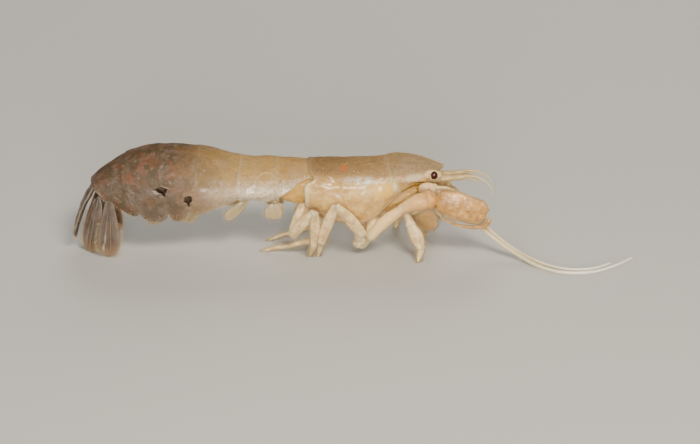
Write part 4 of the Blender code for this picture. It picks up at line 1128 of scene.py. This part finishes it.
def make_pleopods(side, material, coat):
    """Swimming legs: a short stem that carries two thin leaves, one behind the other."""
    for name, (root, tip, half) in PLEOPODS.items():
        root, tip = mirrored(root, side), mirrored(tip, side)
        neck = root + 0.24 * (tip - root)
        halves = (0.55 * half, 0.90 * half, 1.0 * half, 0.85 * half)
        facing = mirrored(ACROSS, side)
        apart = mirrored((-0.10, 0.16, 0.0), side)
        front, lines = leaf(neck + apart, tip + apart, halves, facing, 70, 60, 0.18, ((0.0, 0.10),))
        hind, _ = leaf(neck - apart, neck + 0.86 * (tip - neck) - 2.0 * apart, halves, facing, 60, 36, 0.12)
        stem = article(root, neck, (0.42 * half, 0.42 * half, 0.36 * half), 0.8)
        coat.fringe(front, 0.25, 130, 0.7)
        shapes = [plate(front, SWIMMER_LEAF, lines), plate(hind, SWIMMER_LEAF)] + skins([stem])
        make_piece(f"swimmer_{name[-1]}_{side}", shapes, material, "fin", f"{name}_{side}")


# ---------------------------------------------------------------- limbs
def make_legs(side, material, coat):
    """The four walking legs of one side, each a chain of articles with a flat at the floor.
    The last two articles are fringed along both edges, the rest sparsely."""
    for name, (root, flatness, rows) in WALKING_LEGS.items():
        shift = 0.0 if side == "right" or name == "leg_2" else FAR_SIDE_SHIFT
        rows = LEFT_LEG_2 if side == "left" and name == "leg_2" else rows
        lengths = chain(root, rows, side, flatness, shift)
        for number, rings in enumerate(lengths):
            rings[..., 2] = np.maximum(rings[..., 2], 0.0)
            far = number >= len(lengths) - 2
            for middle in (0.0, 0.5):
                coat.grow(rings, (0.25, 0.95), (middle - 0.07, middle + 0.07), 90 if far else 24,
                          0.75 if far else 0.5, 0.9)
        make_piece(f"walker_{name[-1]}_{side}", skins(lengths), material, "limb", f"{name}_{side}")


def palm_frame(side):
    """Start, heading, down and flat way of a palm."""
    start, pitch, turn = PALMS[side]
    start, pitch, turn = mirrored(start, side), math.radians(pitch), math.radians(turn)
    ahead = np.array([math.cos(pitch), 0.0, -math.sin(pitch)])
    flat = np.array([math.sin(turn), math.cos(turn), 0.0])
    return start, ahead, unit(np.cross(flat, ahead)), flat


def make_claw(side, material, coat):
    """The big first leg: an arm with small thorns on wrist and elbow, a palm with low ridges
    and a toothed fixed finger, and the curved movable finger folded back under it."""
    start, ahead, below, flat = palm_frame(side)
    share = dense_ends(96)
    path = start + share[:, None] * PALM_LENGTH * ahead
    height = flow(PALM_SHARE, PALM_HEIGHTS, share) * PALM_HALF_HEIGHT
    width = flow(PALM_SHARE, PALM_WIDTHS, share) * PALM_HALF_THICKNESS
    turn = turns(88)
    rings = tube(path, height, width, 88, flat, lens=0.12)
    along = np.sin(np.pi * share)[:, None]
    ridges = 0.10 * crease(np.abs(np.cos(turn)), 1.0, 0.08) + 0.07 * crease(np.cos(turn), 0.45, 0.10)
    ridges = ridges - 0.06 * crease(np.cos(turn), 0.72, 0.08) + 0.05 * crease(np.cos(turn), -0.55, 0.12)
    relief = ridges * along + rough(rings, (0.09, 1.5, 3), (0.05, 0.7), (0.015, 0.35, 2))
    relief = relief + 0.05 * beads(rings, 0.55) * ease(0.55, 0.9, np.abs(np.cos(turn)))[None, :] * along
    rings = raised(rings, relief, True)
    root, tip = (start + ahead * u * PALM_LENGTH + below * depth for u, depth in FIXED_FINGER[:2])
    fixed = article(root, tip, FIXED_FINGER[2], 0.9, tip=True)
    palm = [skin(rings, edge=np.abs(np.cos(turn)) ** 6)] + skins([fixed])
    palm += [spine(rings[int(row), 2], below + 0.5 * ahead, 0.30, 0.10) for row in np.linspace(52, 80, 6)]
    for middle, count in ((0.0, 260), (0.5, 170), (0.12, 90), (0.88, 90)):
        coat.grow(rings, (0.12, 0.97), (middle - 0.05, middle + 0.05), count, 0.85, 1.1)
    coat.grow(fixed, (0.1, 0.9), (0.0, 1.0), 70, 0.5, 0.8)
    make_piece(f"palm_{side}", palm, material, "claw", f"claw_{side}_palm")
    bend = [start + ahead * (PALM_LENGTH + past) + below * depth for past, depth in FOLDED_FINGER]
    share = dense_ends(80)
    half = 0.42 * (1.0 - 0.60 * share) * np.sqrt(np.clip(np.minimum(share, 1.01 - share) * 12.0, 0.02, 1.0))
    finger = tube(route(bend, share), half, half * 0.8, 24, flat, lens=0.1)
    finger = raised(finger, 0.02 * grain(finger, 0.5), True)
    coat.grow(finger, (0.1, 0.85), (-0.15, 0.15), 110, 0.6, 0.9)
    make_piece(f"finger_{side}", [skin(finger)], material, "claw", f"claw_{side}_finger")
    arm = chain(*ARMS[side], side, ARM_FLATNESS, pointed=False)
    thorns = []
    for rings, rows, column, size in ((arm[2], (14, 20, 26, 32, 37), 16, 0.34), (arm[2], (34, 38), 1, 0.4),
                                      (arm[1], (12, 18, 24, 30), 1, 0.24), (arm[1], (37,), 16, 0.36)):
        out = normals(rings, True)
        way = unit(rings[-1].mean(axis=0) - rings[0].mean(axis=0))
        thorns += [spine(rings[row, column], out[row, column] + 0.8 * way, size, 0.35 * size) for row in rows]
    for rings in arm:
        for columns, count, length in (((-0.08, 0.08), 130, 0.75), ((0.42, 0.58), 60, 0.5)):
            coat.grow(rings, (0.2, 0.95), columns, count, length, 0.8)
    make_piece(f"arm_{side}", skins(arm) + thorns, material, "claw", f"claw_{side}_arm")


def ringed(points, thick, thin, rings, count=12):
    """A lash: a tapering tube whose half width swells by a twelfth within every ring, as
    |sin|^0.5 of the way through it, and dips between two rings."""
    share = np.linspace(0.0, 1.0, rings * 4 + 1)
    swell = np.abs(np.sin(np.pi * rings * share)) ** 0.5
    half = (thick + (thin - thick) * share) * (0.92 + 0.08 * swell)
    half = half * np.sqrt(np.clip((1.0 - share) * 60.0, 0.05, 1.0))
    return skin(tube(route(points, share), half, half, count), edge=(1.0 - swell)[:, None])


def make_feelers(side, limb, lash, coat):
    """Both feelers of one side: the short forked one, and the long one with its base."""
    stem = chain(*ANTENNULE, side, 1.0, pointed=False)
    short = skins(stem)
    for points, rings in zip(ANTENNULE_LASHES, (34, 22)):
        short.append(ringed([mirrored(point, side) for point in points], 0.24, 0.07, rings, 10))
    for rings in stem:
        coat.grow(rings, (0.3, 0.95), (0.4, 0.6), 30, 0.5, 0.8)
    make_piece(f"short_feeler_{side}", short, lash, "feeler", f"antennule_{side}")
    base = chain(*PEDUNCLES[side], side, 0.9, pointed=False)
    scale = chain(*ANTENNA_SCALE, side, 0.7)
    for rings in base:
        coat.grow(rings, (0.3, 0.95), (-0.1, 0.1), 70, 0.8, 0.8)
    coat.grow(scale[0], (0.3, 0.98), (0.0, 1.0), 60, 0.6, 1.2)
    make_piece(f"feeler_base_{side}", skins(base + scale), limb, "limb", f"antenna_{side}_base")
    long_lash = ringed(LASHES[side], LASH_THICK, LASH_THIN, LASH_RINGS)
    make_piece(f"long_feeler_{side}", [long_lash], lash, "feeler",
               f"antenna_{side}_lash", f"antenna_{side}_tip")


def make_eye(side, eye, limb):
    """A dark ball, half sunk in the outer side of a short pale stalk, with a low rim of skin
    round it."""
    centre, radius = mirrored(EYE[0], side), EYE[1]
    turn = np.linspace(0.02, np.pi - 0.02, 40)
    path = centre + np.stack([0.0 * turn, -np.cos(turn) * radius, 0.0 * turn], axis=-1)
    half = np.sin(turn) * radius
    make_piece(f"eyeball_{side}", [skin(tube(path, half, half, 48, (0.0, 0.0, 1.0)))], eye, "eye",
               f"eye_{side}")
    base, tip, halves = EYESTALK
    stalk = article(mirrored(base, side), mirrored(tip, side), halves, 1.0, 80, 110, tip=True)
    away = np.linalg.norm(stalk - centre, axis=-1)
    stalk = raised(stalk, 0.10 * crease(away, 0.74, 0.09) + 0.03 * grain(stalk, 0.35), True)
    make_piece(f"stalk_{side}", [skin(stalk)], limb, "limb", f"eyestalk_{side}")


def make_mouth(flesh, limb, coat):
    """The mouthparts as a lobed wedge, and the two leg-like outer ones."""
    x = np.linspace(MOUTH_X[0], MOUTH_X[-1], 80)
    path = np.stack([x, 0.0 * x, flow(MOUTH_X, MOUTH_Z, x)], axis=-1)
    rings = tube(path, flow(MOUTH_X, MOUTH_DEPTH, x), flow(MOUTH_X, MOUTH_HALF, x), 64)
    turn = turns(64)
    lobes = 0.16 * np.abs(np.sin(5.0 * turn))[None, :] + 0.10 * np.abs(np.sin(2.2 * x))[:, None]
    rings = raised(rings, lobes - 0.16 + 0.03 * grain(rings, 0.5), True)
    coat.grow(rings, (0.3, 1.0), (-0.2, 0.2), 200, 0.8, 0.8)
    make_piece("mouth", [skin(rings)], flesh, "limb", "mouthparts")
    for side in SIDES:
        lengths = chain(*MAXILLIPED, side, 0.8)
        for rings in lengths:
            coat.grow(rings, (0.1, 0.98), (-0.12, 0.12), 150, 1.0, 0.7)
            coat.grow(rings, (0.1, 0.98), (0.38, 0.62), 60, 0.7, 0.7)
        make_piece(f"mouth_leg_{side}", skins(lengths), limb, "limb", f"maxilliped_{side}")


# ---------------------------------------------------------------- room
def make_room():
    """A plain pale floor, soft lamps and the camera."""
    mesh = bpy.data.meshes.new("floor")
    corners = [(x * FLOOR_REACH, y * FLOOR_REACH, 0) for x, y in ((-1, -1), (1, -1), (1, 1), (-1, 1))]
    mesh.from_pydata(corners, [], [(0, 1, 2, 3)])
    floor = bpy.data.objects.new("floor", mesh)
    bpy.context.scene.collection.objects.link(floor)
    paint = Paint("floor")
    paint.colour = (0.50, 0.51, 0.51, 1.0)
    mesh.materials.append(paint.finish(0.75))
    for name, (place, size, energy, tone, shines) in LAMPS.items():
        lamp = bpy.data.lights.new(name, "AREA")
        lamp.shape, lamp.size, lamp.size_y = "RECTANGLE", size[0], size[1]
        lamp.energy, lamp.color = energy, tone
        holder = bpy.data.objects.new(name, lamp)
        holder.visible_glossy = shines
        bpy.context.scene.collection.objects.link(holder)
        aim_at(holder, np.array(place), LAMPS_AIM)
    world = bpy.data.worlds.new("studio")
    bpy.context.scene.world = world
    world.use_nodes = True
    light = world.node_tree.nodes["Background"].inputs
    light["Color"].default_value, light["Strength"].default_value = (0.86, 0.86, 0.84, 1.0), 0.18
    camera = bpy.data.cameras.new("camera")
    camera.lens, camera.sensor_width = 200.0, 36.0
    camera.clip_start, camera.clip_end = 0.01, 20.0
    holder = bpy.data.objects.new("camera", camera)
    bpy.context.scene.collection.objects.link(holder)
    aim = (np.array(CAMERA_AIM) + SHIFT) * MM
    aim_at(holder, aim + CAMERA_AWAY * np.array([0.0, -math.cos(CAMERA_RISE), math.sin(CAMERA_RISE)]), aim)
    bpy.context.scene.camera = holder


def aim_at(holder, place, target):
    """Puts a lamp or the camera at a place and turns its -Z towards the target."""
    holder.location = place
    holder.rotation_euler = Vector(target - place).to_track_quat("-Z", "Y").to_euler()


def main():
    shield, abdomen, flesh = shield_paint(), abdomen_paint(), flesh_paint()
    limb, claw, lash, fan = limb_paint(), claw_paint(), lash_paint(), fan_paint()
    swimmer, eye, straw = swimmer_paint(), eye_paint(), bristle_paint()
    coats = {name: Coat(seed) for seed, name in enumerate(("shell", "limb", "claw", "feeler", "fin"), 1)}
    make_carapace(shield, coats["shell"])
    make_thorax(flesh)
    make_head(shield, coats["shell"])
    for number in range(1, 7):
        make_segment(number, abdomen, coats["shell"])
    make_belly(flesh)
    make_telson(fan, coats["fin"])
    make_mouth(flesh, limb, coats["limb"])
    for side in SIDES:
        make_uropods(side, fan, coats["fin"])
        make_pleopods(side, swimmer, coats["fin"])
        make_legs(side, limb, coats["limb"])
        make_claw(side, claw, coats["claw"])
        make_feelers(side, limb, lash, coats["feeler"])
        make_eye(side, eye, limb)
    for name, coat in coats.items():
        make_piece(f"hairs_{name}", coat.shapes, straw, name)
    make_room()


main()
